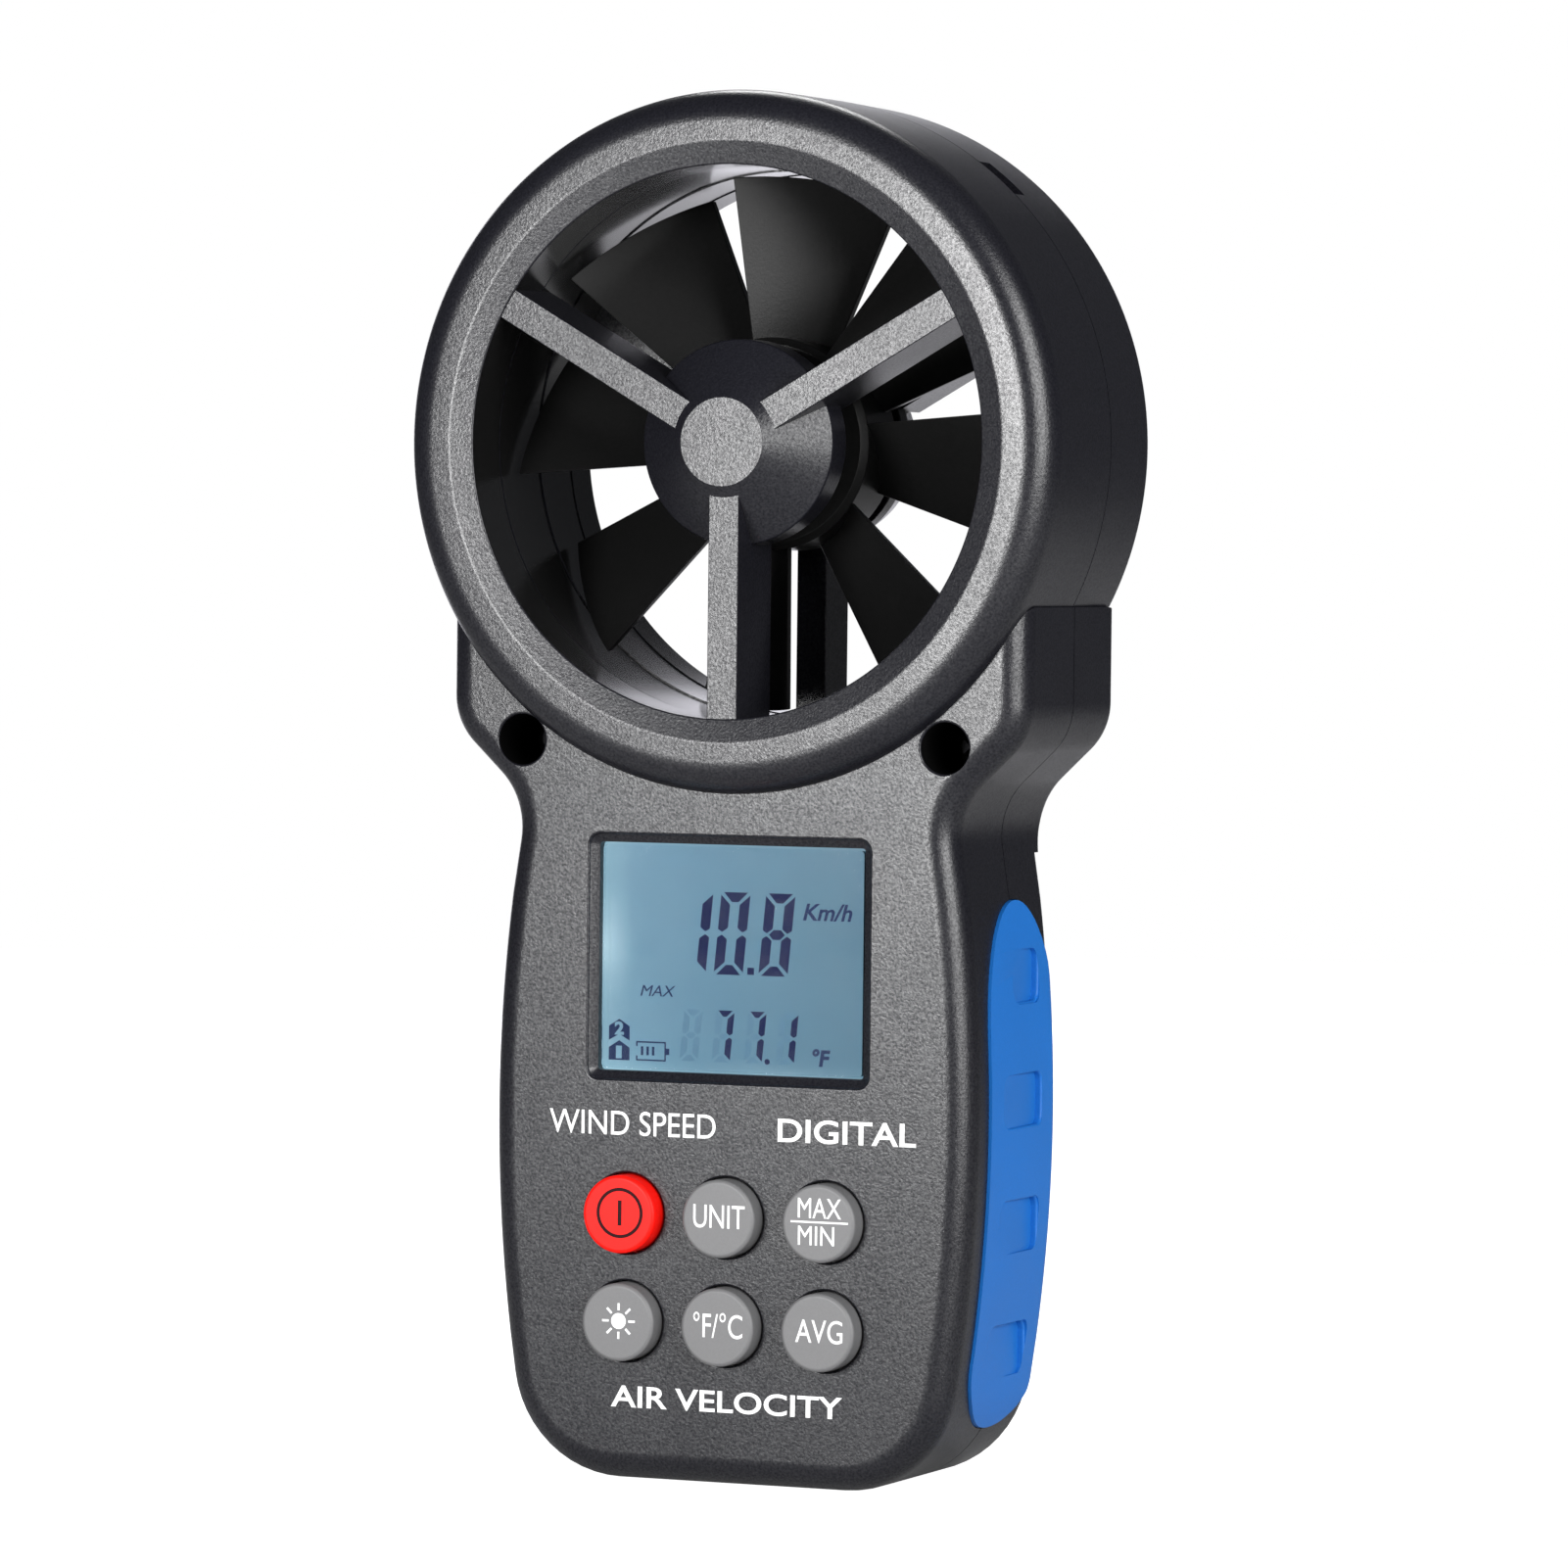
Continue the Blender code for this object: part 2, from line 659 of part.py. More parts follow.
def sensor_cuts():
    """The pickup cable's groove down the lower spoke, and the thermistor's hole through the duct's wall."""
    groove = block(
        "cable_groove", (-0.95, CABLE_GROOVE_Y[0], RING_Z - 35.6), (0.95, CABLE_GROOVE_Y[1], RING_Z - 10.2)
    )
    hole = bmesh.new()
    bmesh.ops.create_cone(
        hole, cap_ends=True, segments=16, radius1=1.5, radius2=1.5, depth=4.0, matrix=thermistor_frame(33.8)
    )
    return [groove, add_object("thermistor_hole", hole)]


def thermistor_frame(radius):
    """A frame whose Z axis points out from the ring's centre, at a radius on the thermistor's line."""
    away = Vector((math.cos(THERMISTOR_ANGLE), 0, math.sin(THERMISTOR_ANGLE)))
    place = Vector((0, THERMISTOR_Y, RING_Z)) + away * radius
    return Matrix.Translation(place) @ away.to_track_quat("Z", "Y").to_matrix().to_4x4()


# ---------------------------------------------------------------------- rotor

ROTOR_Y = FRONT + 18.4
BLADE_TIP_RADIUS = 31.8
BLADE_TIP_HALF_CHORD = 8.15
BLADE_ROOT_HALF_CHORD = 4.1
BLADE_THICKNESS = 1.0
HUB_RADIUS = 12.7
HUB_FRONT = FRONT + 14.0
HUB_BACK = FRONT + 23.4


def blade(number):
    """One flat blade, set at the pitch angle, with its tip curved to the duct."""
    tip_steps = 4
    root = HUB_RADIUS - 0.9
    corners = [(root, -BLADE_ROOT_HALF_CHORD)]
    for step in range(tip_steps + 1):
        across_chord = BLADE_TIP_HALF_CHORD * (2 * step / tip_steps - 1)
        corners.append((math.sqrt(BLADE_TIP_RADIUS**2 - across_chord**2), across_chord))
    corners.append((root, BLADE_ROOT_HALF_CHORD))
    mesh_data = bmesh.new()
    loops = []
    for layer in (-0.5, 0.5):
        shift = layer * BLADE_THICKNESS / math.cos(BLADE_PITCH)
        loops.append([(out, shift - chord * math.tan(BLADE_PITCH), chord) for out, chord in corners])
    loft(mesh_data, loops)
    turn = FIRST_BLADE + number * 2 * math.pi / BLADES
    bmesh.ops.transform(
        mesh_data,
        matrix=Matrix.Translation((0, ROTOR_Y, RING_Z)) @ Matrix.Rotation(-turn, 4, "Y"),
        verts=mesh_data.verts,
    )
    return add_object(f"blade_{number + 1}", mesh_data)


def rotor():
    """The impeller: a cup-shaped hub with eight blades, moulded in one piece."""
    profile = [
        (1.05, HUB_FRONT),
        (11.9, HUB_FRONT),
        (HUB_RADIUS, HUB_FRONT + 0.8),
        (HUB_RADIUS, HUB_BACK),
        (11.3, HUB_BACK),
        (11.3, HUB_FRONT + 1.6),
        (3.3, HUB_FRONT + 1.6),
        (3.3, HUB_BACK),
        (1.05, HUB_BACK),
    ]
    impeller = turned("rotor", profile, 0, RING_Z, HUB_STEPS)
    join(impeller, *[blade(number) for number in range(BLADES)])
    return finish_part(impeller, "rotor_plastic", (0, ROTOR_Y, RING_Z))


def rotor_train():
    """The pieces that turn with the rotor, or carry it."""
    axis = (0, ROTOR_Y, RING_Z)
    shaft_front = FRONT + 10.6
    shaft_back = BACK - 8.4
    bevel = 0.3
    shaft_profile = [
        (0, shaft_front),
        (0.75 - bevel, shaft_front),
        (0.75, shaft_front + bevel),
        (0.75, shaft_back - bevel),
        (0.75 - bevel, shaft_back),
        (0, shaft_back),
    ]
    shaft = turned("rotor_shaft", shaft_profile, 0, RING_Z, 12, closed=False)
    finish_part(shaft, "steel", axis)
    magnet_profile = [(3.6, HUB_BACK - 3.4), (6.4, HUB_BACK - 3.4), (6.4, HUB_BACK - 0.6), (3.6, HUB_BACK - 0.6)]
    magnet = turned("rotor_magnet", magnet_profile, 0, RING_Z, 24)
    finish_part(magnet, "steel", axis)
    for name, low in (("front_bearing", FRONT + 10.5), ("rear_bearing", BACK - 10.6)):
        high = low + 2.2
        bearing_profile = [(1.05, low), (2.5, low), (2.5, high), (1.05, high)]
        finish_part(turned(name, bearing_profile, 0, RING_Z, 16), "brass")


def pickup():
    """The speed pickup in the rear hub, its cable down the lower spoke, and the air thermistor."""
    board_profile = [(4.6, BACK - 4.2), (10.6, BACK - 4.2), (10.6, BACK - 3.0), (4.6, BACK - 3.0)]
    finish_part(turned("pickup_board", board_profile, 0, RING_Z, 24), "board_green")
    sensor = block("pickup_sensor", (3.4 + 1.4, BACK - 6.4, RING_Z + 1.0), (3.4 + 4.8, BACK - 4.5, RING_Z + 4.0))
    finish_part(sensor, "black_plastic")
    y = sum(CABLE_GROOVE_Y) / 2
    route = [
        (0, y, RING_Z - 10.9),
        (0, y, RING_Z - 15.0),
        (0, y, RING_Z - 22.0),
        (0, y, RING_Z - 30.0),
        (0, y, RING_Z - 35.0),
        (0, y - 2.0, RING_Z - 38.0),
        (0, 4.0, RING_Z - 39.4),
        (0, -1.0, RING_Z - 40.4),
        (0, BOARD_BACK + 1.3, RING_Z - 42.6),
        (0, BOARD_BACK + 0.9, RING_Z - 45.5),
    ]
    tube("pickup_cable", route, 1.2, "black_rubber")
    bead = bmesh.new()
    bmesh.ops.create_uvsphere(bead, u_segments=10, v_segments=6, radius=1.2, matrix=thermistor_frame(31.6))
    stem = bmesh.new()
    bmesh.ops.create_cone(
        stem, cap_ends=True, segments=12, radius1=0.8, radius2=0.8, depth=6.0, matrix=thermistor_frame(34.6)
    )
    thermistor = add_object("thermistor", bead)
    join(thermistor, add_object("thermistor_stem", stem))
    finish_part(thermistor, "black_plastic")


# --------------------------------------------------------------- handle parts


def screen():
    """The display, from front to back: lens, liquid-crystal glass, contact strip and backlight."""
    lens_outline = screen_outline(SCREEN_LEDGE + CLEARANCE, 0.5)
    lens = prism("lcd_lens", lens_outline, FACE + 1.1, FACE + 2.0)
    finish_part(lens, "lens_clear")
    glass_back = INNER_FACE + 2.1
    glass = block(
        "lcd_glass", (-19.0, INNER_FACE + CLEARANCE, SCREEN_Z - 15.8), (19.0, glass_back, SCREEN_Z + 15.8)
    )
    finish_part(glass, "lcd_glass")
    low_y = glass_back + CLEARANCE
    high_y = BOARD_FRONT - CLEARANCE
    backlight = block("lcd_backlight", (-18.6, low_y, SCREEN_Z - 12.6), (18.6, high_y, SCREEN_Z + 15.4))
    finish_part(backlight, "diffuser_white")
    strip = block("lcd_contact_strip", (-17.0, low_y, SCREEN_Z - 15.4), (17.0, high_y, SCREEN_Z - 13.2))
    finish_part(strip, "black_rubber")


BUTTONS = (
    "power_button",
    "unit_button",
    "max_min_button",
    "backlight_button",
    "temperature_button",
    "average_button",
)


def buttons():
    """Six round caps, each held behind the face by a flange, above its own switch on the board."""
    top = FRONT + 1.4
    flange_front = INNER_FACE + CLEARANCE
    flange_back = flange_front + 0.7
    for name, (x, z) in zip(BUTTONS, button_places()):
        profile = [
            (0, top),
            (BUTTON_RADIUS - 0.6, top),
            (BUTTON_RADIUS, top + 0.6),
            (BUTTON_RADIUS, flange_front),
            (BUTTON_RADIUS + 0.8, flange_front),
            (BUTTON_RADIUS + 0.8, flange_back),
            (0, flange_back),
        ]
        cap = turned(name, profile, x, z, 24, closed=False)
        colour = "button_red" if name == "power_button" else "button_grey"
        finish_part(cap, colour, (x, flange_back, z))
        half = 2.25
        switch_front = flange_back + BUTTON_TRAVEL + 0.2
        switch = block(
            name.replace("button", "switch"),
            (x - half, switch_front, z - half),
            (x + half, BOARD_FRONT - CLEARANCE, z + half),
        )
        finish_part(switch, "black_plastic")


def main_board():
    """The circuit board behind the face, with its four screws."""
    outline = rounded(
        [
            (16.0, 15.0, 1.5),
            (16.0, 20.0, 1.5),
            (24.4, 23.0, 1.5),
            (24.4, 79.0, 1.5),
            (-24.4, 79.0, 1.5),
            (-24.4, 23.0, 1.5),
            (-16.0, 20.0, 1.5),
            (-16.0, 15.0, 1.5),
        ],
        2,
    )
    board = prism("main_board", outline, BOARD_FRONT, BOARD_BACK)
    for number, (x, z) in enumerate(BOARD_POSTS, 1):
        cut(board, cylinder(f"board_hole_{number}", x, z, 1.5, BOARD_FRONT - 1, BOARD_BACK + 1))
    finish_part(board, "board_green")
    for number, (x, z) in enumerate(BOARD_POSTS, 1):
        screw(f"board_screw_{number}", x, z, BOARD_BACK + CLEARANCE, -1, 2.1, 0.95, 1.3, 4.2)
    chip = block(
        "processor", (-17.0, BOARD_BACK + CLEARANCE, 67.0), (-9.0, BOARD_BACK + 1.4, 75.0)
    )
    finish_part(chip, "black_plastic")


def screw(name, x, z, seat, direction, head_radius, shank_radius, head_height, length, material_name="steel"):
    """A screw along Y. The head's underside is at seat, and the shank runs from it in the given direction."""
    recess = 0.5
    top = seat - direction * head_height
    profile = [
        (0, top + direction * recess),
        (head_radius * 0.45, top),
        (head_radius, top + direction * head_height * 0.4),
        (head_radius, seat),
        (shank_radius, seat),
        (shank_radius, seat + direction * length),
        (0, seat + direction * length),
    ]
    return finish_part(turned(name, profile, x, z, 12, closed=False), material_name)


def case_screws():
    """Two screws from the front, deep in their wells, and two from the back near the foot."""
    for side, label in ((-1, "left"), (1, "right")):
        upper_seat = SEAM - 4.2 - CLEARANCE
        screw(f"upper_screw_{label}", side * CASE_SCREW_X, CASE_SCREW_Z, upper_seat, 1, 2.7, 1.2, 1.9, 11.0)
        lower_seat = SEAM + 3.4 + CLEARANCE
        screw(f"lower_screw_{label}", side * LOWER_SCREW_X, LOWER_SCREW_Z, lower_seat, -1, 2.7, 1.2, 1.9, 11.0)


def grips():
    """The soft grips on both sides, with four shallow finger recesses each."""
    recess_heights = (16.1, 31.0, 46.0, 60.7)
    half_height = 3.15
    rear = 8.6
    front_depth = 0.1
    rear_depth = 0.85
    for side, label in ((-1, "left"), (1, "right")):
        grip = handle_body(f"{label}_grip", 0.35)
        keep_inside(grip, grip_prism(f"{label}_grip_cutter", side, 0.0, 20.0))
        cut(grip, handle_body(f"{label}_grip_core", -1.1))
        for number, z in enumerate(recess_heights, 1):
            front = 0.4 if z > 60 else -3.6
            low, high = z - half_height, z + half_height
            outline = rounded([(rear, low, 1.3), (rear, high, 1.3), (front, high, 1.8), (front, low, 1.8)], 3)
            slope = (rear_depth - front_depth) / (rear - front)
            surface = belly_x(z) + 0.35
            floor = [(side * (surface - front_depth - slope * (y - front)), y, height) for y, height in outline]
            mesh_data = bmesh.new()
            loft(mesh_data, [floor, [(side * 40.0, y, height) for y, height in outline]])
            cut(grip, add_object(f"{label}_grip_recess_{number}", mesh_data))
        finish_part(grip, "grip_rubber")


def battery():
    """A 9 V block battery in its tray, its snap connector and the two leads to the board."""
    width, depth, height = BATTERY_SIZE
    y0 = TRAY_FRONT + 0.9 + CLEARANCE
    z0 = TRAY_BOTTOM + 7.5 + CLEARANCE
    middle_y = y0 + depth / 2
    top = z0 + height - 5.2
    body_outline = [(-width / 2, z0), (width / 2, z0), (width / 2, top), (-width / 2, top)]
    body = prism("battery", body_outline, y0, y0 + depth)
    bevel = body.modifiers.new("edges", "BEVEL")
    bevel.width = 1.0 * MM
    bevel.segments = 2
    studs = []
    for side, label in ((-1, "plus"), (1, "minus")):
        studs.append(upright_cylinder(f"battery_{label}", side * 6.35, middle_y, 2.9, top - 0.5, top + 2.4))
    join(body, *studs)
    finish_part(body, "battery_skin")
    snap_low = top + CLEARANCE
    snap = block("battery_snap", (-12.4, middle_y - 6.2, snap_low), (12.4, middle_y + 6.2, snap_low + 4.0))
    sockets = []
    for side, label in ((-1, "plus"), (1, "minus")):
        sockets.append(
            upright_cylinder(f"socket_{label}", side * 6.35, middle_y, 3.3, snap_low - 1, snap_low + 2.6)
        )
    cut(snap, *sockets)
    finish_part(snap, "black_rubber")
    for side, label, colour in ((-1, "red_battery_lead", "red_insulation"), (1, "black_battery_lead", "black_rubber")):
        x = side * 1.4
        start_z = snap_low + 4.0 + CLEARANCE + 0.6
        route = [
            (x * 3.2, middle_y, start_z),
            (x * 2.4, middle_y - 2.4, start_z + 0.3),
            (x * 1.5, TRAY_FRONT + 4.2, start_z + 0.7),
            (x, TRAY_FRONT + 2.9, TRAY_TOP + 0.6),
            (x, TRAY_FRONT + 2.9, TRAY_TOP + 2.5),
            (x, TRAY_FRONT + 2.2, TRAY_TOP + 4.8),
            (x, BOARD_BACK + 1.1, TRAY_TOP + 7.0),
        ]
        tube(label, route, 1.2, colour)


def upright_cylinder(name, x, y, radius, low, high):
    mesh_data = bmesh.new()
    bmesh.ops.create_cone(
        mesh_data,
        cap_ends=True,
        segments=16,
        radius1=radius,
        radius2=radius,
        depth=high - low,
        matrix=Matrix.Translation((x, y, (low + high) / 2)),
    )
    return add_object(name, mesh_data)


def battery_door():
    """The battery door, which swings out about the two tabs at its top once its screw is undone."""
    hinge = (0, HANDLE_BACK - 0.1, DOOR_TOP - 0.1)
    middle_z = (DOOR_BOTTOM + DOOR_TOP) / 2
    outline = rounded_box(2 * DOOR_HALF_WIDTH, DOOR_TOP - DOOR_BOTTOM, 2.2, z=middle_z)
    door = prism("battery_door", outline, HANDLE_BACK - DOOR_THICKNESS, HANDLE_BACK)
    for side, label in ((-1, "left"), (1, "right")):
        tab = block(
            f"door_tab_{label}",
            (side * 8.5 - 2.6, HANDLE_BACK - 3.3, DOOR_TOP - 2.4),
            (side * 8.5 + 2.6, HANDLE_BACK - DOOR_THICKNESS + 0.3, DOOR_TOP + 1.2),
        )
        join(door, tab)
    ridges = []
    for step in range(5):
        z = DOOR_BOTTOM + 11.0 + 2.4 * step
        ridges.append(
            block(f"door_groove_{step + 1}", (-7.0, HANDLE_BACK - 0.5, z), (7.0, HANDLE_BACK + 1, z + 1.1))
        )
    screw_z = DOOR_BOTTOM + 3.4
    well = screw_seat("door_well", 0, screw_z, HANDLE_BACK + 1, HANDLE_BACK - 0.8, HANDLE_BACK - 3)
    cut(door, *ridges, well)
    finish_part(door, "case_plastic", hinge)
    door_screw = screw("door_screw", 0, screw_z, HANDLE_BACK - 0.8 + CLEARANCE, -1, 2.5, 1.2, 0.9, 6.5)
    finish_part(door_screw, "steel", hinge)


def tripod_insert():
    """The threaded brass insert in the handle's back, for a quarter-inch tripod screw."""
    low = HANDLE_BACK - 8.6
    high = HANDLE_BACK - 0.3
    profile = [(3.1, low), (4.7, low), (4.7, high), (3.6, high), (3.1, high - 0.5)]
    finish_part(turned("tripod_insert", profile, 0, TRIPOD_Z, 20), "brass")


def main():
    clear_scene()
    front_case()
    rear_case()
    rotor()
    rotor_train()
    pickup()
    screen()
    buttons()
    main_board()
    case_screws()
    grips()
    battery()
    battery_door()
    tripod_insert()


main()
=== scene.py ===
"""Studio scene for the handheld vane anemometer: fine surfaces, materials, printing, lights and camera.

Lengths are millimetres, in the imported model's frame: +Z is up, the display faces -Y, and +X is on the
viewer's right. MM turns them to metres.
"""

import json
import math

import bmesh
import bpy
from mathutils import Matrix, Vector

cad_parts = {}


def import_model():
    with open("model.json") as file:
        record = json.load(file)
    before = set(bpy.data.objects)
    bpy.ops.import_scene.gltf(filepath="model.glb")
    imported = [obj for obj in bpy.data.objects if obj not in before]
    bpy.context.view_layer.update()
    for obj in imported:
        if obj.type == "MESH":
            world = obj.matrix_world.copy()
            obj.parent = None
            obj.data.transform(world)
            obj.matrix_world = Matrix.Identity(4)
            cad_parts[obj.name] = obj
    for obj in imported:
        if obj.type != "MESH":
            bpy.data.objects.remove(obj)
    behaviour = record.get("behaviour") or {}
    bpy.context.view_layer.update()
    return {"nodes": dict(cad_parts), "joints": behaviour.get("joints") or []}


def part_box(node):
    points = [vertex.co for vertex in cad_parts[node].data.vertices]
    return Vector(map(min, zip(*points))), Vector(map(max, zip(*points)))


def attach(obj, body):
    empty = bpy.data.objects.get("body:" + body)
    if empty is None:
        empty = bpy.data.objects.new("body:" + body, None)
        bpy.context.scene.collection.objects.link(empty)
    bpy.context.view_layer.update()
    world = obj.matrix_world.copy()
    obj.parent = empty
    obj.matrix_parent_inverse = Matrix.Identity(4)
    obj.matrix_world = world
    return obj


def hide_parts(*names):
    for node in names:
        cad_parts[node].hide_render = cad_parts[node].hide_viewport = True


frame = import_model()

MM = 0.001


# ------------------------------------------------- places read from the frame


def corners(node):
    """A CAD node's lowest and highest corners."""
    low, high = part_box(node)
    return low / MM, high / MM


def middle(node):
    """The middle of a CAD node's box."""
    low, high = corners(node)
    return (low + high) / 2


SPIN = next(joint for joint in frame["joints"] if joint["name"] == "rotor_spin")
ROTOR_Y = SPIN["pos_m"][1] / MM
RING_Z = SPIN["pos_m"][2] / MM
HEIGHT = corners("rear_case")[1].z
RING_RADIUS = HEIGHT - RING_Z
FRONT = corners("front_case")[0].y
BACK = corners("rear_case")[1].y
CLEARANCE = 0.3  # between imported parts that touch
SEAM = corners("front_case")[1].y + CLEARANCE / 2
LENS_DEPTH = 1.1
FACE = corners("lcd_lens")[0].y - LENS_DEPTH
FACE_WALL = 2.2
INNER_FACE = FACE + FACE_WALL
HANDLE_BACK = corners("battery_door")[1].y
BOARD_FRONT, BOARD_BACK = (corner.y for corner in corners("main_board"))

DUCT_RADIUS = 32.6
EDGE_RADIUS = 3.4
RIM_RADIUS = 3.9
REAR_RIM_RADIUS = 3.0
REAR_DRAFT = 0.25  # the ring's rear half gets this much narrower towards its back
WALL = 2.6
RING_WALL = 2.3
SEAM_GAP = 0.01  # each half stops this far short of the seam
SPOKE_ANGLES = [math.radians(angle) for angle in (30, 150, 270)]
SIDES = ((-1, "left"), (1, "right"))

LENS_SIZE = corners("lcd_lens")[1] - corners("lcd_lens")[0]
SCREEN_MARGIN = 1.3  # from the recess's wall to the lens
SCREEN_X = -0.1
SCREEN_SIZE = (LENS_SIZE.x + 2 * SCREEN_MARGIN, LENS_SIZE.z + 2 * SCREEN_MARGIN)
SCREEN_LEDGE = 1.0
SCREEN_RECESS = 0.8
SCREEN_Z = middle("lcd_lens").z
GLASS_FRONT = corners("lcd_glass")[0].y

KEYS = ("power", "unit", "max_min", "backlight", "temperature", "average")
KEY_PLACES = {key: middle(f"{key}_button") for key in KEYS}
KEY_TOP = corners("power_button")[0].y
KEY_BACK = corners("power_button")[1].y
KEY_FLANGE = 0.8  # how far the flange behind the face reaches past a button's side
KEY_RADIUS = (corners("power_button")[1].x - corners("power_button")[0].x) / 2 - KEY_FLANGE

CASE_SCREW = middle("upper_screw_right")
LOWER_SCREW = middle("lower_screw_right")
HEAD_BOSS_RADIUS = 4.6  # round a case screw's head
NECK_BOSS_RADIUS = 3.6  # round an upper screw's thread
FOOT_BOSS_RADIUS = 3.2  # round a lower screw's thread
HEAD_HOLE_RADIUS = 3.05
SHANK_HOLE_RADIUS = 1.6
THREAD_RADIUS = 1.55
BOARD_POSTS = [middle(f"board_screw_{number}") for number in range(1, 5)]
BEARING_RADIUS = 2.8
BEARING_BOSS_RADIUS = 4.2
INSERT_LOW, INSERT_HIGH = corners("tripod_insert")
TRIPOD_Z = middle("tripod_insert").z

DOOR_LOW, DOOR_HIGH = corners("battery_door")
DOOR_HALF_WIDTH = DOOR_HIGH.x
DOOR_BOTTOM = DOOR_LOW.z
TAB_HEIGHT = 1.2  # how far the hinge tabs reach above the door
TAB_X = 8.5
DOOR_TOP = DOOR_HIGH.z - TAB_HEIGHT
DOOR_MIDDLE = (DOOR_BOTTOM + DOOR_TOP) / 2
DOOR_THICKNESS = 1.6
DOOR_SCREW_Z = DOOR_BOTTOM + 3.4
BATTERY_LOW, BATTERY_HIGH = corners("battery")
TRAY_X = 13.9
TRAY_WALL = 1.2
TRAY_BOTTOM = BATTERY_LOW.z - 7.8
TRAY_TOP = 62.2
TRAY_FRONT = BOARD_BACK + 0.5

GRIP_CENTRE_Y = 3.2
GRIP_HALF_WIDTH = 10.7
GRIP_STRAIGHT = (15.0, 53.3)
GRIP_END_HEIGHTS = (8.2, 16.4)
GRIP_PROUD = 0.35
GRIP_INSIDE = 20.0  # the grips' cutters start this far from the handle's middle

RING_STEPS = 240
HUB_STEPS = 120
SMALL_STEPS = 48
SMOOTH_ANGLE = math.radians(28)  # edges that turn more than this stay sharp
BEVEL_ANGLE = math.radians(40)
OVERSHOOT = 1.0  # how far a cutter starts outside the surface that it cuts


# ------------------------------------------------------------------- outlines


def arc(centre, radius, start, end, steps):
    """Points on an arc, with the angles in radians."""
    turns = [start + (end - start) * step / steps for step in range(steps + 1)]
    return [(centre[0] + radius * math.cos(turn), centre[1] + radius * math.sin(turn)) for turn in turns]


def rounded(points, steps):
    """An outline from (x, z, radius) corners, each rounded by an arc of its radius."""
    outline = []
    for index, (x, z, radius) in enumerate(points):
        corner = Vector((x, z))
        if not radius:
            outline.append((x, z))
            continue
        back = (Vector(points[index - 1][:2]) - corner).normalized()
        ahead = (Vector(points[(index + 1) % len(points)][:2]) - corner).normalized()
        half_angle = back.angle(ahead) / 2
        centre = corner + (back + ahead).normalized() * radius / math.sin(half_angle)
        start = corner + back * radius / math.tan(half_angle) - centre
        end = corner + ahead * radius / math.tan(half_angle) - centre
        first = math.atan2(start.y, start.x)
        turn = (math.atan2(end.y, end.x) - first + math.pi) % (2 * math.pi) - math.pi
        outline += arc(centre, radius, first, first + turn, steps)
    return outline


def rounded_box(width, height, radius, x=0.0, z=0.0, steps=6):
    """A rectangle's outline with rounded corners, about (x, z)."""
    signs = [(1, -1), (1, 1), (-1, 1), (-1, -1)]
    return rounded([(x + a * width / 2, z + b * height / 2, radius) for a, b in signs], steps)


def grown(outline, distance):
    """The outline moved outwards by a distance, or inwards by a negative one. It runs anticlockwise."""
    moved = []
    for index, point in enumerate(outline):
        here = Vector(point)
        before = (here - Vector(outline[index - 1])).normalized()
        after = (Vector(outline[(index + 1) % len(outline)]) - here).normalized()
        out_before = Vector((before.y, -before.x))
        out_after = Vector((after.y, -after.x))
        out = (out_before + out_after).normalized()
        reach = distance / out.dot(out_before)
        moved.append((here.x + out.x * reach, here.y + out.y * reach))
    return moved


BELLY_RADIUS = 206.0
BELLY_HALF_WIDTH = 30.93
BELLY_Z = 44.0
WAIST_Z = 80.6
WAIST_RADIUS = 9.0
SHOULDER_X = 37.15
SHOULDER_LOW = 89.7
SHOULDER_HIGH = 104.5
SHOULDER_RADIUS = 8.0
FOOT_RADIUS = 14.0


def belly_x(z):
    """Half width of the handle on its long side arc."""
    return BELLY_HALF_WIDTH - BELLY_RADIUS + math.sqrt(BELLY_RADIUS**2 - (z - BELLY_Z) ** 2)


def handle_outline():
    """The handle seen from the front: foot, bulging sides, waist and the two shoulders under the ring."""
    side_start = 17.0
    side_step = 2.5
    side_steps = 22
    side_heights = [side_start + side_step * step for step in range(side_steps)]
    right = [(belly_x(0) + 0.5, 0.0, FOOT_RADIUS)]
    right += [(belly_x(z), z, 0) for z in side_heights]
    right += [(belly_x(WAIST_Z), WAIST_Z, WAIST_RADIUS)]
    right += [(SHOULDER_X, SHOULDER_LOW, SHOULDER_RADIUS), (SHOULDER_X, SHOULDER_HIGH, 0)]
    left = [(-x, z, radius) for x, z, radius in reversed(right)]
    return rounded(right + left, 12)


def edge_rows(radius, steps=10):
    """(inset, setback) pairs down a rounded edge, from the flat face to the side."""
    turns = [math.pi / 2 * step / steps for step in range(steps + 1)]
    return [(radius * (1 - math.sin(turn)), radius * (1 - math.cos(turn))) for turn in turns]


# --------------------------------------------------------------- mesh helpers


def add_object(name, mesh_data):
    """Puts a bmesh, in millimetres, into the scene as an object whose faces point outwards."""
    bmesh.ops.recalc_face_normals(mesh_data, faces=mesh_data.faces)
    bmesh.ops.scale(mesh_data, vec=(MM, MM, MM), verts=mesh_data.verts)
    mesh = bpy.data.meshes.new(name)
    mesh_data.to_mesh(mesh)
    mesh_data.free()
    obj = bpy.data.objects.new(name, mesh)
    bpy.context.scene.collection.objects.link(obj)
    return obj


def apply_modifiers(obj):
    """Replaces an object's mesh by what its modifiers make of it."""
    graph = bpy.context.evaluated_depsgraph_get()
    made = bpy.data.meshes.new_from_object(obj.evaluated_get(graph))
    obj.modifiers.clear()
    obj.data = made
    return obj


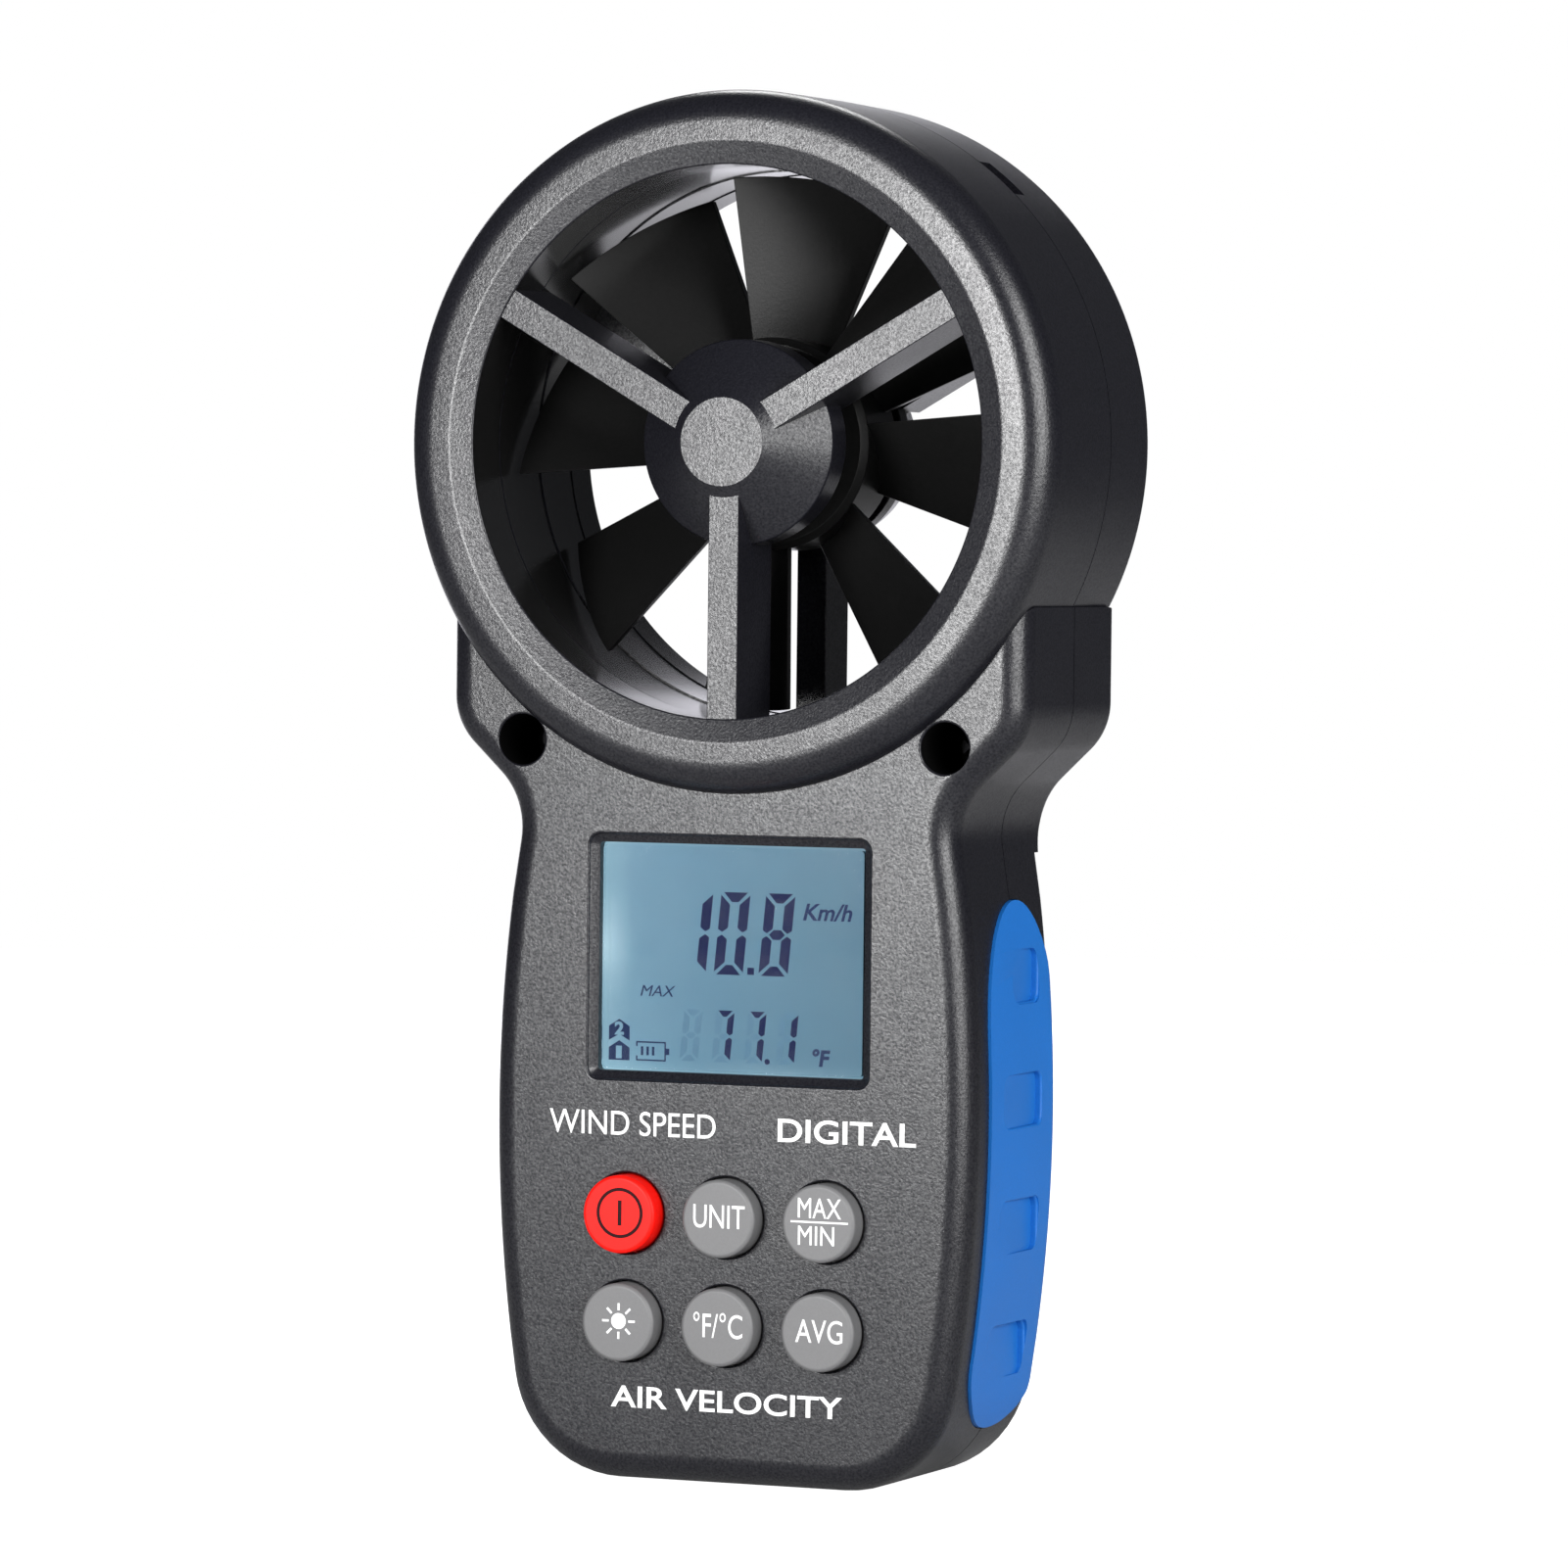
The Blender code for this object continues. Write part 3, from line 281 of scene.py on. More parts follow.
def boolean(obj, operation, tools):
    """Cuts, joins or intersects an object with closed tools, which are then removed."""
    for tool in tools:
        modifier = obj.modifiers.new(operation, "BOOLEAN")
        modifier.operation = operation
        modifier.object = tool
        modifier.solver = "MANIFOLD"
    apply_modifiers(obj)
    for tool in tools:
        bpy.data.objects.remove(tool)
    return obj


def cut(obj, *tools):
    return boolean(obj, "DIFFERENCE", tools)


def join(obj, *tools):
    return boolean(obj, "UNION", tools)


def keep_inside(obj, *tools):
    return boolean(obj, "INTERSECT", tools)


def bevelled(obj, width, segments):
    """Rounds the sharp edges of a clean mesh."""
    modifier = obj.modifiers.new("edges", "BEVEL")
    modifier.width = width * MM
    modifier.segments = segments
    modifier.limit_method = "ANGLE"
    modifier.angle_limit = BEVEL_ANGLE
    return apply_modifiers(obj)


def shaded(obj):
    """Smooth shading in which large faces keep their own normal beside small roundings."""
    obj.data.shade_smooth()
    obj.data.set_sharp_from_angle(angle=SMOOTH_ANGLE)
    modifier = obj.modifiers.new("normals", "WEIGHTED_NORMAL")
    modifier.keep_sharp = True
    modifier.weight = 100
    return apply_modifiers(obj)


def loft(mesh_data, loops):
    """A closed solid through loops that have the same number of points, with flat ends."""
    rows = [[mesh_data.verts.new(point) for point in loop] for loop in loops]
    count = len(rows[0])
    for low, high in zip(rows, rows[1:]):
        for index in range(count):
            after = (index + 1) % count
            mesh_data.faces.new((low[index], low[after], high[after], high[index]))
    mesh_data.faces.new(rows[0][::-1])
    mesh_data.faces.new(rows[-1])


def across(outline, y):
    """Points of an (x, z) outline at one depth."""
    return [(x, y, z) for x, z in outline]


def lofted(name, loops):
    mesh_data = bmesh.new()
    loft(mesh_data, loops)
    return add_object(name, mesh_data)


def prism(name, outline, front, back):
    """An (x, z) outline extruded between two depths."""
    return lofted(name, [across(outline, front), across(outline, back)])


def prisms(name, outlines, front, back):
    """Several outlines extruded between two depths, as one object."""
    mesh_data = bmesh.new()
    for outline in outlines:
        loft(mesh_data, [across(outline, front), across(outline, back)])
    return add_object(name, mesh_data)


def block(name, low, high):
    """A box between its lowest and highest corners."""
    outline = [(low[0], low[2]), (high[0], low[2]), (high[0], high[2]), (low[0], high[2])]
    return prism(name, outline, low[1], high[1])


def turned(name, profile, x=0.0, z=0.0, steps=SMALL_STEPS, closed=True):
    """A solid turned about an axis along Y at (x, z), from a profile of (radius, y) points.

    A closed profile is a ring's section. An open one starts and ends on the axis.
    """
    mesh_data = bmesh.new()
    turns = [2 * math.pi * step / steps for step in range(steps)]
    rows = []
    for radius, y in profile:
        if radius == 0:
            rows.append([mesh_data.verts.new((x, y, z))] * steps)
            continue
        points = [(x + radius * math.cos(turn), y, z + radius * math.sin(turn)) for turn in turns]
        rows.append([mesh_data.verts.new(point) for point in points])
    pairs = list(zip(rows, rows[1:]))
    if closed:
        pairs.append((rows[-1], rows[0]))
    for low, high in pairs:
        for step in range(steps):
            after = (step + 1) % steps
            face = dict.fromkeys((low[step], low[after], high[after], high[step]))
            if len(face) > 2:
                mesh_data.faces.new(list(face))
    return add_object(name, mesh_data)


def cylinder(name, x, z, radius, front, back, steps=SMALL_STEPS):
    return turned(name, [(0, front), (radius, front), (radius, back), (0, back)], x, z, steps, closed=False)


def rounded_prism(name, outline, front, back, front_radius=0.0, back_radius=0.0):
    """An outline extruded along Y, with its front and back edges rounded."""
    loops = []
    for inset, setback in edge_rows(front_radius) if front_radius else [(0, 0)]:
        loops.append(across(grown(outline, -inset), front + setback))
    for inset, setback in reversed(edge_rows(back_radius) if back_radius else [(0, 0)]):
        loops.append(across(grown(outline, -inset), back - setback))
    return lofted(name, loops)


def mouth_rows(rounding):
    """(growth, depth) pairs into a hole whose mouth is rounded, starting above the surface."""
    return [(rounding, -OVERSHOOT)] + edge_rows(rounding, 6)


def pit(name, outline, surface, floor, rounding):
    """The cutter for a recess in a surface that faces backwards."""
    loops = [across(grown(outline, growth), surface - depth) for growth, depth in mouth_rows(rounding)]
    loops.append(across(outline, floor))
    return lofted(name, loops)


def hole_profile(radius, surface, floor, rounding):
    """A round hole's side from above the surface down to its floor. It goes in towards the floor."""
    way = 1 if floor > surface else -1
    mouth = [(radius + growth, surface + way * depth) for growth, depth in mouth_rows(rounding)]
    return [(0, surface - way * OVERSHOOT)] + mouth + [(radius, floor)]


def hole(name, x, z, radius, surface, floor, rounding):
    """The cutter for a round hole with a rounded mouth."""
    profile = hole_profile(radius, surface, floor, rounding) + [(0, floor)]
    return turned(name, profile, x, z, closed=False)


def cone(name, base_radius, top_radius, depth, place, segments=32):
    """A closed cone or cylinder about the Z axis of the frame given by place."""
    mesh_data = bmesh.new()
    bmesh.ops.create_cone(
        mesh_data,
        cap_ends=True,
        segments=segments,
        radius1=base_radius,
        radius2=top_radius,
        depth=depth,
        matrix=place,
    )
    return add_object(name, mesh_data)


def handle_body(name, grow):
    """The whole handle, front to back, grown outwards by a distance on every side."""
    radius = EDGE_RADIUS + grow
    outline = grown(handle_outline(), grow)
    return rounded_prism(name, outline, FACE - grow, HANDLE_BACK + grow, radius, radius)


# ------------------------------------------------------------------- finishes


NOISE_MIDDLE = (0.3, 0.7)  # most of a noise's values lie between these
WHITE = (1.0, 1.0, 1.0, 1.0)


def srgb(red, green, blue):
    """A linear colour from 0 to 255 screen values."""
    def linear(value):
        share = value / 255
        return share / 12.92 if share <= 0.04045 else ((share + 0.055) / 1.055) ** 2.4

    return (linear(red), linear(green), linear(blue), 1.0)


def grey(value):
    return (value, value, value, 1.0)


def shade_of(colour, factor):
    """A linear colour made lighter or darker."""
    return (*(channel * factor for channel in colour[:3]), 1.0)


class Look:
    """A procedural material: a Principled shader with the nodes that drive it."""

    def __init__(self, name):
        self.material = bpy.data.materials.new(name)
        self.material.use_nodes = True
        self.tree = self.material.node_tree
        self.shader = self.tree.nodes["Principled BSDF"]
        self.place = self.add("ShaderNodeTexCoord", {}).outputs["Object"]

    def feed(self, node, inputs):
        """Sets each of a node's inputs to a value, or links it to another node's output."""
        for name, value in inputs.items():
            if isinstance(value, bpy.types.NodeSocket):
                self.tree.links.new(value, node.inputs[name])
            else:
                node.inputs[name].default_value = value

    def add(self, kind, inputs, **settings):
        node = self.tree.nodes.new(kind)
        for key, value in settings.items():
            setattr(node, key, value)
        self.feed(node, inputs)
        return node

    def set(self, **values):
        """Sets the shader's inputs. An underscore stands for a space in an input's name."""
        self.feed(self.shader, {key.replace("_", " "): value for key, value in values.items()})

    def noise(self, size, detail=2.0, roughness=0.5, place=None):
        """Noise whose features are about size millimetres across."""
        inputs = {"Scale": 1 / (size * MM), "Detail": detail, "Roughness": roughness}
        return self.add("ShaderNodeTexNoise", {**inputs, "Vector": place or self.place}).outputs["Fac"]

    def ramp(self, factor, *stops):
        """A colour ramp from (position, colour) stops."""
        node = self.add("ShaderNodeValToRGB", {"Fac": factor})
        elements = node.color_ramp.elements
        while len(elements) < len(stops):
            elements.new(0.5)
        for element, (position, colour) in zip(elements, stops):
            element.position = position
            element.color = colour
        return node.outputs["Color"]

    def tones(self, noise, low, high):
        """A noise turned into the colours from low to high."""
        return self.ramp(noise, (NOISE_MIDDLE[0], low), (NOISE_MIDDLE[1], high))

    def mapped(self, value, first, last, low, high):
        """Maps the range from first to last to the range from low to high."""
        inputs = {"Value": value, "From Min": first, "From Max": last, "To Min": low, "To Max": high}
        return self.add("ShaderNodeMapRange", inputs).outputs["Result"]

    def spread(self, noise, low, high):
        """A noise turned into values from low to high."""
        return self.mapped(noise, *NOISE_MIDDLE, low, high)

    def along(self, axis, first, last):
        """How far a place is on its way from first to last along an axis, from 0 to 1."""
        parts = self.add("ShaderNodeSeparateXYZ", {"Vector": self.place})
        return self.mapped(parts.outputs[axis], first * MM, last * MM, 0.0, 1.0)

    def mix(self, factor, first, second, blend="MIX"):
        inputs = {"Factor": factor, "A": first, "B": second}
        return self.add("ShaderNodeMix", inputs, data_type="RGBA", blend_type=blend).outputs["Result"]

    def bump(self, height, depth):
        """Adds a bump of about depth millimetres."""
        node = self.add("ShaderNodeBump", {"Distance": depth * MM, "Strength": 1.0, "Height": height})
        self.set(Normal=node.outputs["Normal"])

    def halo(self, centre, reach):
        """A factor that falls from 1 at a point to 0 at the given reach along X, Y and Z."""
        location = [value * MM for value in centre]
        scale = [value * MM for value in reach]
        inputs = {"Location": location, "Scale": scale, "Vector": self.place}
        mapping = self.add("ShaderNodeMapping", inputs, vector_type="TEXTURE")
        inputs = {"Vector": mapping.outputs["Vector"]}
        return self.add("ShaderNodeTexGradient", inputs, gradient_type="QUADRATIC_SPHERE").outputs["Fac"]


def moulded(name, colour, roughness, grain, depth, variation=0.15, specular=0.5, sparkle=0.0):
    """Moulded plastic or rubber: a fine grain, and slow changes of tone and gloss.

    Variation is how much the grain changes the tone, and sparkle how much it changes the reflections.
    """
    look = Look(name)
    fine = look.noise(grain, detail=3.0, roughness=0.6)
    slow = look.noise(14.0, detail=1.0)
    speckle = look.tones(fine, shade_of(colour, 1 - variation), shade_of(colour, 1 + variation))
    tone = look.tones(slow, grey(0.94), WHITE)
    shine = look.spread(fine, specular * (1 - sparkle), specular * (1 + sparkle)) if sparkle else specular
    look.set(Base_Color=look.mix(1.0, speckle, tone, "MULTIPLY"), Specular_IOR_Level=shine)
    look.set(Roughness=look.spread(slow, roughness - 0.03, roughness + 0.03))
    look.bump(fine, depth)
    return look


def metal(name, colour, roughness):
    """Turned or drawn metal, with fine marks across its Y axis."""
    look = Look(name)
    squeezed = look.add("ShaderNodeMapping", {"Scale": (1.0, 6.0, 1.0), "Vector": look.place})
    marks = look.noise(0.6, detail=4.0, place=squeezed.outputs["Vector"])
    look.set(Base_Color=look.tones(marks, shade_of(colour, 0.8), colour), Metallic=1.0)
    look.set(Roughness=look.spread(marks, roughness - 0.08, roughness + 0.1))
    look.bump(marks, 0.01)
    return look


def circuit_board(name):
    """Green solder mask over faint copper tracks."""
    look = Look(name)
    upright = look.add("ShaderNodeMapping", {"Rotation": (math.pi / 2, 0, 0), "Vector": look.place})
    bricks = look.add("ShaderNodeTexBrick", {
        "Vector": upright.outputs["Vector"],
        "Scale": 110.0,
        "Mortar Size": 0.03,
        "Color1": (0.012, 0.14, 0.05, 1.0),
        "Color2": (0.018, 0.18, 0.065, 1.0),
        "Mortar": (0.05, 0.3, 0.11, 1.0),
    })
    look.set(Base_Color=bricks.outputs["Color"], Roughness=look.spread(look.noise(3.0), 0.3, 0.45))
    look.bump(bricks.outputs["Fac"], 0.03)
    return look


def display_panel(name):
    """A blue backlit panel that glows more strongly near its left edge and along its bottom."""
    look = Look(name)
    colour = look.ramp(
        look.along("X", -LENS_SIZE.x / 2, LENS_SIZE.x / 2),
        (0.0, srgb(136, 176, 193)),
        (0.1, srgb(112, 155, 177)),
        (0.35, srgb(97, 142, 165)),
        (1.0, srgb(83, 124, 144)),
    )
    deep = 20.0
    bottom = SCREEN_Z - 14.5
    glows = (
        ((-17.5, GLASS_FRONT, SCREEN_Z + 1.5), (5.5, deep, 9.0), srgb(190, 224, 236)),
        ((-16.0, GLASS_FRONT, bottom), (14.0, deep, 4.5), srgb(150, 196, 212)),
        ((4.0, GLASS_FRONT, bottom), (24.0, deep, 3.2), srgb(134, 170, 186)),
    )
    for centre, reach, glow in glows:
        colour = look.mix(look.halo(centre, reach), colour, glow)
    mottle = look.tones(look.noise(3.5, detail=1.0), (0.96, 0.96, 0.97, 1.0), WHITE)
    look.set(Emission_Color=look.mix(1.0, colour, mottle, "MULTIPLY"), Emission_Strength=1.0)
    look.set(Base_Color=(0.01, 0.015, 0.02, 1.0), Roughness=0.3, Specular_IOR_Level=0.2)
    return look


def clear_lens(name):
    """Clear polished plastic."""
    look = Look(name)
    look.set(Base_Color=(0.96, 0.98, 1.0, 1.0), IOR=1.46, Transmission_Weight=1.0)
    look.set(Roughness=look.spread(look.noise(6.0), 0.02, 0.05))
    return look


def glowing(name, colour):
    """A lit figure on the display."""
    look = Look(name)
    look.set(Emission_Color=look.tones(look.noise(1.2), shade_of(colour, 0.9), colour), Emission_Strength=1.0)
    look.set(Base_Color=grey(0.0), Roughness=0.4, Specular_IOR_Level=0.1)
    return look


def battery_wrap(name):
    """A printed wrap: a dark lower part with a copper-coloured band on top."""
    look = Look(name)
    dark = (0.015, 0.016, 0.02, 1.0)
    copper = (0.45, 0.2, 0.07, 1.0)
    up = look.along("Z", BATTERY_LOW.z, BATTERY_HIGH.z)
    bands = look.ramp(up, (0.0, dark), (0.66, dark), (0.665, copper), (0.9, copper))
    look.set(Base_Color=bands, Roughness=look.spread(look.noise(5.0), 0.25, 0.35))
    look.bump(look.noise(9.0), 0.05)
    return look


def make_looks():
    """Every look by its short name. A moulded one takes its colour, roughness, grain size and grain depth."""
    charcoal = (0.0085, 0.0085, 0.0118, 1.0)
    black = grey(0.007)
    return {
        "case": moulded("case_plastic_look", charcoal, 0.31, 0.3, 0.03, sparkle=0.5),
        "duct": moulded("duct_wall_look", black, 0.2, 0.5, 0.0003),
        # painted shade: a near-black, matte, almost unreflecting copy of the case plastic for the inside of
        # the deep front screw wells
        "well": moulded("screw_well_painted_shade_look", grey(0.003), 0.7, 0.3, 0.004, specular=0.03),
        "rotor": moulded("rotor_plastic_look", black, 0.32, 0.4, 0.012, specular=0.25),
        "grip": moulded("grip_rubber_look", srgb(29, 111, 196), 0.42, 0.25, 0.006, 0.05, 0.3),
        "key": moulded("grey_key_look", srgb(108, 108, 109), 0.5, 0.3, 0.004, 0.04),
        "red_key": moulded("red_key_look", srgb(255, 20, 10), 0.45, 0.3, 0.004, 0.04, 0.2),
        "print": moulded("white_print_look", grey(0.88), 0.5, 0.2, 0.002, 0.03),
        "dark_print": moulded("dark_print_look", srgb(40, 6, 10), 0.5, 0.2, 0.002, 0.05, 0.1),
        "black_plastic": moulded("black_plastic_look", black, 0.45, 0.3, 0.01),
        "black_rubber": moulded("black_rubber_look", grey(0.02), 0.65, 0.4, 0.01),
        "red_insulation": moulded("red_insulation_look", (0.55, 0.02, 0.02, 1.0), 0.5, 0.4, 0.01),
        "diffuser": moulded("diffuser_look", (0.75, 0.78, 0.82, 1.0), 0.5, 1.0, 0.01, 0.04),
        # painted shade: a dark copy of the steel for the upper screws, which sit at the bottom of the deep
        # front wells
        "painted_shade_steel": metal("painted_shade_steel_look", (0.02, 0.02, 0.022, 1.0), 0.55),
        "steel": metal("steel_look", (0.58, 0.58, 0.6, 1.0), 0.32),
        "brass": metal("brass_look", (0.72, 0.52, 0.22, 1.0), 0.3),
        "board": circuit_board("board_look"),
        "lens": clear_lens("lens_look"),
        "panel": display_panel("display_panel_look"),
        "figures": glowing("display_figures_look", srgb(22, 32, 80)),
        "small_figures": glowing("display_small_figures_look", srgb(30, 48, 92)),
        "ghosts": glowing("display_ghosts_look", srgb(95, 138, 164)),
        "battery": battery_wrap("battery_wrap_look"),
    }


LOOKS = make_looks()


def finish_piece(obj, look, body, slot, *replaced):
    """Gives a piece its look, the body it moves with, and the CAD nodes it stands for."""
    obj.data.materials.clear()
    obj.data.materials.append(LOOKS[look].material)
    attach(obj, body)
    if replaced:
        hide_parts(*replaced)


def refinish(obj, look, chosen):
    """Gives the faces that chosen picks a second look."""
    obj.data.materials.append(LOOKS[look].material)
    index = len(obj.data.materials) - 1
    for face in obj.data.polygons:
        if chosen(face):
            face.material_index = index


# ---------------------------------------------------------------- case halves


def spokes(prefix, front, back, inner):
    """Three flat spokes that reach from the hub into the duct's wall."""
    half_width = 1.9
    outer = DUCT_RADIUS + 1.2
    soft_edge = 0.12
    centre = Vector((0, RING_Z))
    made = []
    for number, angle in enumerate(SPOKE_ANGLES, 1):
        along = Vector((math.cos(angle), math.sin(angle)))
        side = Vector((-along.y, along.x)) * half_width
        ends = ((inner, -1), (outer, -1), (outer, 1), (inner, 1))
        outline = [tuple(centre + along * radius + side * sign) for radius, sign in ends]
        made.append(rounded_prism(f"{prefix}_spoke_{number}", outline, front, back, soft_edge, soft_edge))
    return made


def front_ring():
    """The front half of the air ring: rounded outside, a flat rim, a chamfer, and a groove in the duct."""
    groove_radius = DUCT_RADIUS + 0.6
    groove_y = FRONT + 8.45
    profile = rounded([
        (DUCT_RADIUS + 0.2, SEAM + 1, 0),
        (DUCT_RADIUS + 0.15, groove_y + 0.2, 0),
        (groove_radius, groove_y + 0.15, 0),
        (groove_radius, groove_y - 0.15, 0),
        (DUCT_RADIUS + 0.1, groove_y - 0.2, 0),
        (DUCT_RADIUS, FRONT + 0.7, 0.25),
        (RING_RADIUS - 6.1, FRONT, 1.5),
        (RING_RADIUS, FRONT, RIM_RADIUS),
        (RING_RADIUS, SEAM + 1, 0),
    ], 12)
    return turned("front_shell", profile, 0, RING_Z, RING_STEPS)


def front_hub():
    """The cone in front of the rotor, with a skirt, and a boss behind it for the front bearing."""
    skirt_outside = 12.2
    skirt_inside = 10.9
    skirt_back = FRONT + 9.0
    boss_back = FRONT + 12.9
    bearing_seat = FRONT + 10.2
    outside = rounded([
        (0, FRONT, 0),
        (5.25, FRONT, 0.15),
        (skirt_outside, FRONT + 4.9, 0.5),
        (skirt_outside, skirt_back, 0.2),
        (skirt_inside, skirt_back, 0.2),
        (skirt_inside, FRONT + 5.6, 0.3),
        (BEARING_BOSS_RADIUS + 0.4, FRONT + 2.4, 0),
        (BEARING_BOSS_RADIUS, boss_back, 0.2),
        (BEARING_RADIUS, boss_back, 0.2),
        (BEARING_RADIUS, bearing_seat, 0),
        (0, bearing_seat, 0),
    ], 4)
    return turned("front_hub", outside, 0, RING_Z, HUB_STEPS, closed=False)


def grip_outline(grow):
    """A grip's (y, z) outline: straight sides with half-elliptical ends."""
    half_width = GRIP_HALF_WIDTH + grow
    steps = 28
    ends = []
    for sign, base, height in zip((-1, 1), GRIP_STRAIGHT, GRIP_END_HEIGHTS):
        for step in range(steps + 1):
            turn = math.pi * step / steps
            y = GRIP_CENTRE_Y + sign * half_width * math.cos(turn)
            ends.append((y, base + sign * (height + grow) * math.sin(turn)))
    return ends


def grip_prism(name, side, grow):
    """The grip's outline extruded along X, from inside the handle to past its side."""
    outline = grip_outline(grow)
    return lofted(name, [[(side * x, y, z) for y, z in outline] for x in (GRIP_INSIDE, 2 * GRIP_INSIDE)])


def grip_pocket(name, side):
    """The cutter for the shallow pocket that a grip lies in."""
    pocket = grip_prism(name, side, 0.12)
    return cut(pocket, handle_body(f"{name}_core", -1.4))


def case_cavity(name, handle_span, channel_span):
    """The hollow of one case half: the handle's inside and the channel round the duct."""
    hollow = prism(name, grown(handle_outline(), -WALL), *handle_span)
    core_radius = DUCT_RADIUS + 3.4
    cut(hollow, cylinder(f"{name}_core", 0, RING_Z, core_radius, FRONT - 1, BACK + 1, RING_STEPS))
    low, high = channel_span
    inner = DUCT_RADIUS + RING_WALL
    outer = RING_RADIUS - RING_WALL
    channel_profile = [(inner, low), (outer, low), (outer, high), (inner, high)]
    channel = turned(f"{name}_channel", channel_profile, 0, RING_Z, RING_STEPS)
    return channel, hollow


def half_space(name, front, back):
    """A block that is wider and taller than the whole object."""
    return block(name, (-2 * RING_RADIUS, front, -10), (2 * RING_RADIUS, back, HEIGHT + 10))


def seam_grooves(name):
    """The cutters for the fine grooves where the case halves meet: round the outside, and round the duct."""
    half_width = 0.1
    front, back = SEAM - half_width, SEAM + half_width
    depth = 0.8
    outside = prism(f"{name}_groove", grown(handle_outline(), 1.0), front, back)
    join(outside, cylinder(f"{name}_groove_disc", 0, RING_Z, RING_RADIUS + 1, front, back, RING_STEPS))
    core = prism(f"{name}_groove_core", grown(handle_outline(), -depth), front - 1, back + 1)
    join(core, cylinder(f"{name}_core_disc", 0, RING_Z, RING_RADIUS - depth, front - 1, back + 1, RING_STEPS))
    low, high = DUCT_RADIUS - 1, DUCT_RADIUS + 0.4
    duct_profile = [(low, front), (high, front), (high, back), (low, back)]
    duct = turned(f"{name}_duct_groove", duct_profile, 0, RING_Z, RING_STEPS)
    return [cut(outside, core), duct]


def screw_seat(name, x, z, surface, floor, through, rounding=0.3):
    """A stepped hole: wide for a screw's head, then narrow for its shank."""
    shank = [(SHANK_HOLE_RADIUS, floor), (SHANK_HOLE_RADIUS, through), (0, through)]
    return turned(name, hole_profile(HEAD_HOLE_RADIUS, surface, floor, rounding) + shank, x, z, closed=False)


def screen_recess():
    """The cutter for the display's sunk frame: a soft edge, a short wall and a bevel down to the opening."""
    outline = rounded_box(*SCREEN_SIZE, 1.4, SCREEN_X, SCREEN_Z, 8)
    rows = [(-growth, depth) for growth, depth in mouth_rows(0.3)]
    rows += [(0.1, 0.45), (SCREEN_LEDGE, SCREEN_RECESS + 0.2), (SCREEN_LEDGE, INNER_FACE - FACE + 1)]
    return lofted("screen_recess", [across(grown(outline, -inset), FACE + depth) for inset, depth in rows])


def in_screw_well(face):
    """Whether a face lies inside a front screw well, below its rim."""
    place = face.center / MM
    away = Vector((abs(place.x) - CASE_SCREW.x, place.z - CASE_SCREW.z)).length
    return away < HEAD_HOLE_RADIUS + 0.15 and place.y > FACE + 0.45


def on_duct_wall(face):
    """Whether a face lies on the ring's inner wall."""
    place = face.center / MM
    radius = Vector((place.x, place.z - RING_Z)).length
    return DUCT_RADIUS - 0.3 < radius < DUCT_RADIUS + 0.7 and abs(face.normal.y) < 0.3


def front_shell():
    """The front shell: handle face, front of the air ring, front spokes and the cone hub."""
    case = front_ring()
    shell = rounded_prism("front_face", handle_outline(), FACE, SEAM + 2, EDGE_RADIUS)
    cut(shell, cylinder("front_face_core", 0, RING_Z, DUCT_RADIUS + 1.0, FRONT - 1, SEAM + 3, RING_STEPS))
    join(case, shell)
    cut(case, *case_cavity("front_hollow", (INNER_FACE, SEAM + 5), (FRONT + 2.6, SEAM + 4)))
    cut(case, half_space("behind_seam", SEAM - SEAM_GAP, SEAM + 9))
    join(case, front_hub(), *spokes("front", FRONT + 0.9, FRONT + 11.0, 4.5))
    boss_front = INNER_FACE - 0.3
    key_gap = 0.22
    post_radius = 2.2
    post_hole_radius = 1.25
    seats = [screen_recess()]
    for side, label in SIDES:
        upper = (side * CASE_SCREW.x, CASE_SCREW.z)
        lower = (side * LOWER_SCREW.x, LOWER_SCREW.z)
        boss = cylinder(f"front_boss_{label}", *upper, HEAD_BOSS_RADIUS, boss_front, SEAM - 0.6)
        lower_boss = cylinder(f"front_lower_boss_{label}", *lower, FOOT_BOSS_RADIUS, boss_front, SEAM - 2.0)
        join(case, boss, lower_boss)
        seats.append(screw_seat(f"front_seat_{label}", *upper, FACE, SEAM - 4.2, SEAM))
        seats.append(cylinder(f"front_thread_{label}", *lower, THREAD_RADIUS, SEAM - 9.5, SEAM))
        seats.append(grip_pocket(f"front_pocket_{label}", side))
    for number, post in enumerate(BOARD_POSTS, 1):
        there = (post.x, post.z)
        join(case, cylinder(f"board_post_{number}", *there, post_radius, FACE + 0.6, BOARD_FRONT - CLEARANCE))
        seats.append(cylinder(f"post_hole_{number}", *there, post_hole_radius, INNER_FACE + 0.4, BOARD_FRONT))
    for key, place in KEY_PLACES.items():
        radius = KEY_RADIUS + key_gap
        seats.append(hole(f"{key}_hole", place.x, place.z, radius, FACE, INNER_FACE + 1, key_gap))
    cut(case, *seats, *seam_grooves("front"))
    finish_piece(shaded(case), "case", "case", "case_plastic", "front_case")
    # painted shade: faces inside the front screw wells take the near-black well look
    refinish(case, "well", in_screw_well)
    refinish(case, "duct", on_duct_wall)


def rear_ring():
    """The rear half of the air ring, with a fine step in the duct and a rounded lip at its exit."""
    step_y = BACK - 6.2
    duct = [
        (DUCT_RADIUS, SEAM - 1, 0),
        (DUCT_RADIUS + 0.2, step_y, 0),
        (DUCT_RADIUS + 0.08, step_y + 0.12, 0),
        (DUCT_RADIUS + 0.1, BACK - 0.5, 0.3),
        (DUCT_RADIUS + 0.5, BACK, 0.2),
    ]
    outside = [
        (RING_RADIUS - REAR_DRAFT, BACK, REAR_RIM_RADIUS),
        (RING_RADIUS, SEAM, 0),
        (RING_RADIUS, SEAM - 1, 0),
    ]
    return turned("rear_shell", rounded(duct + outside, 10), 0, RING_Z, RING_STEPS)


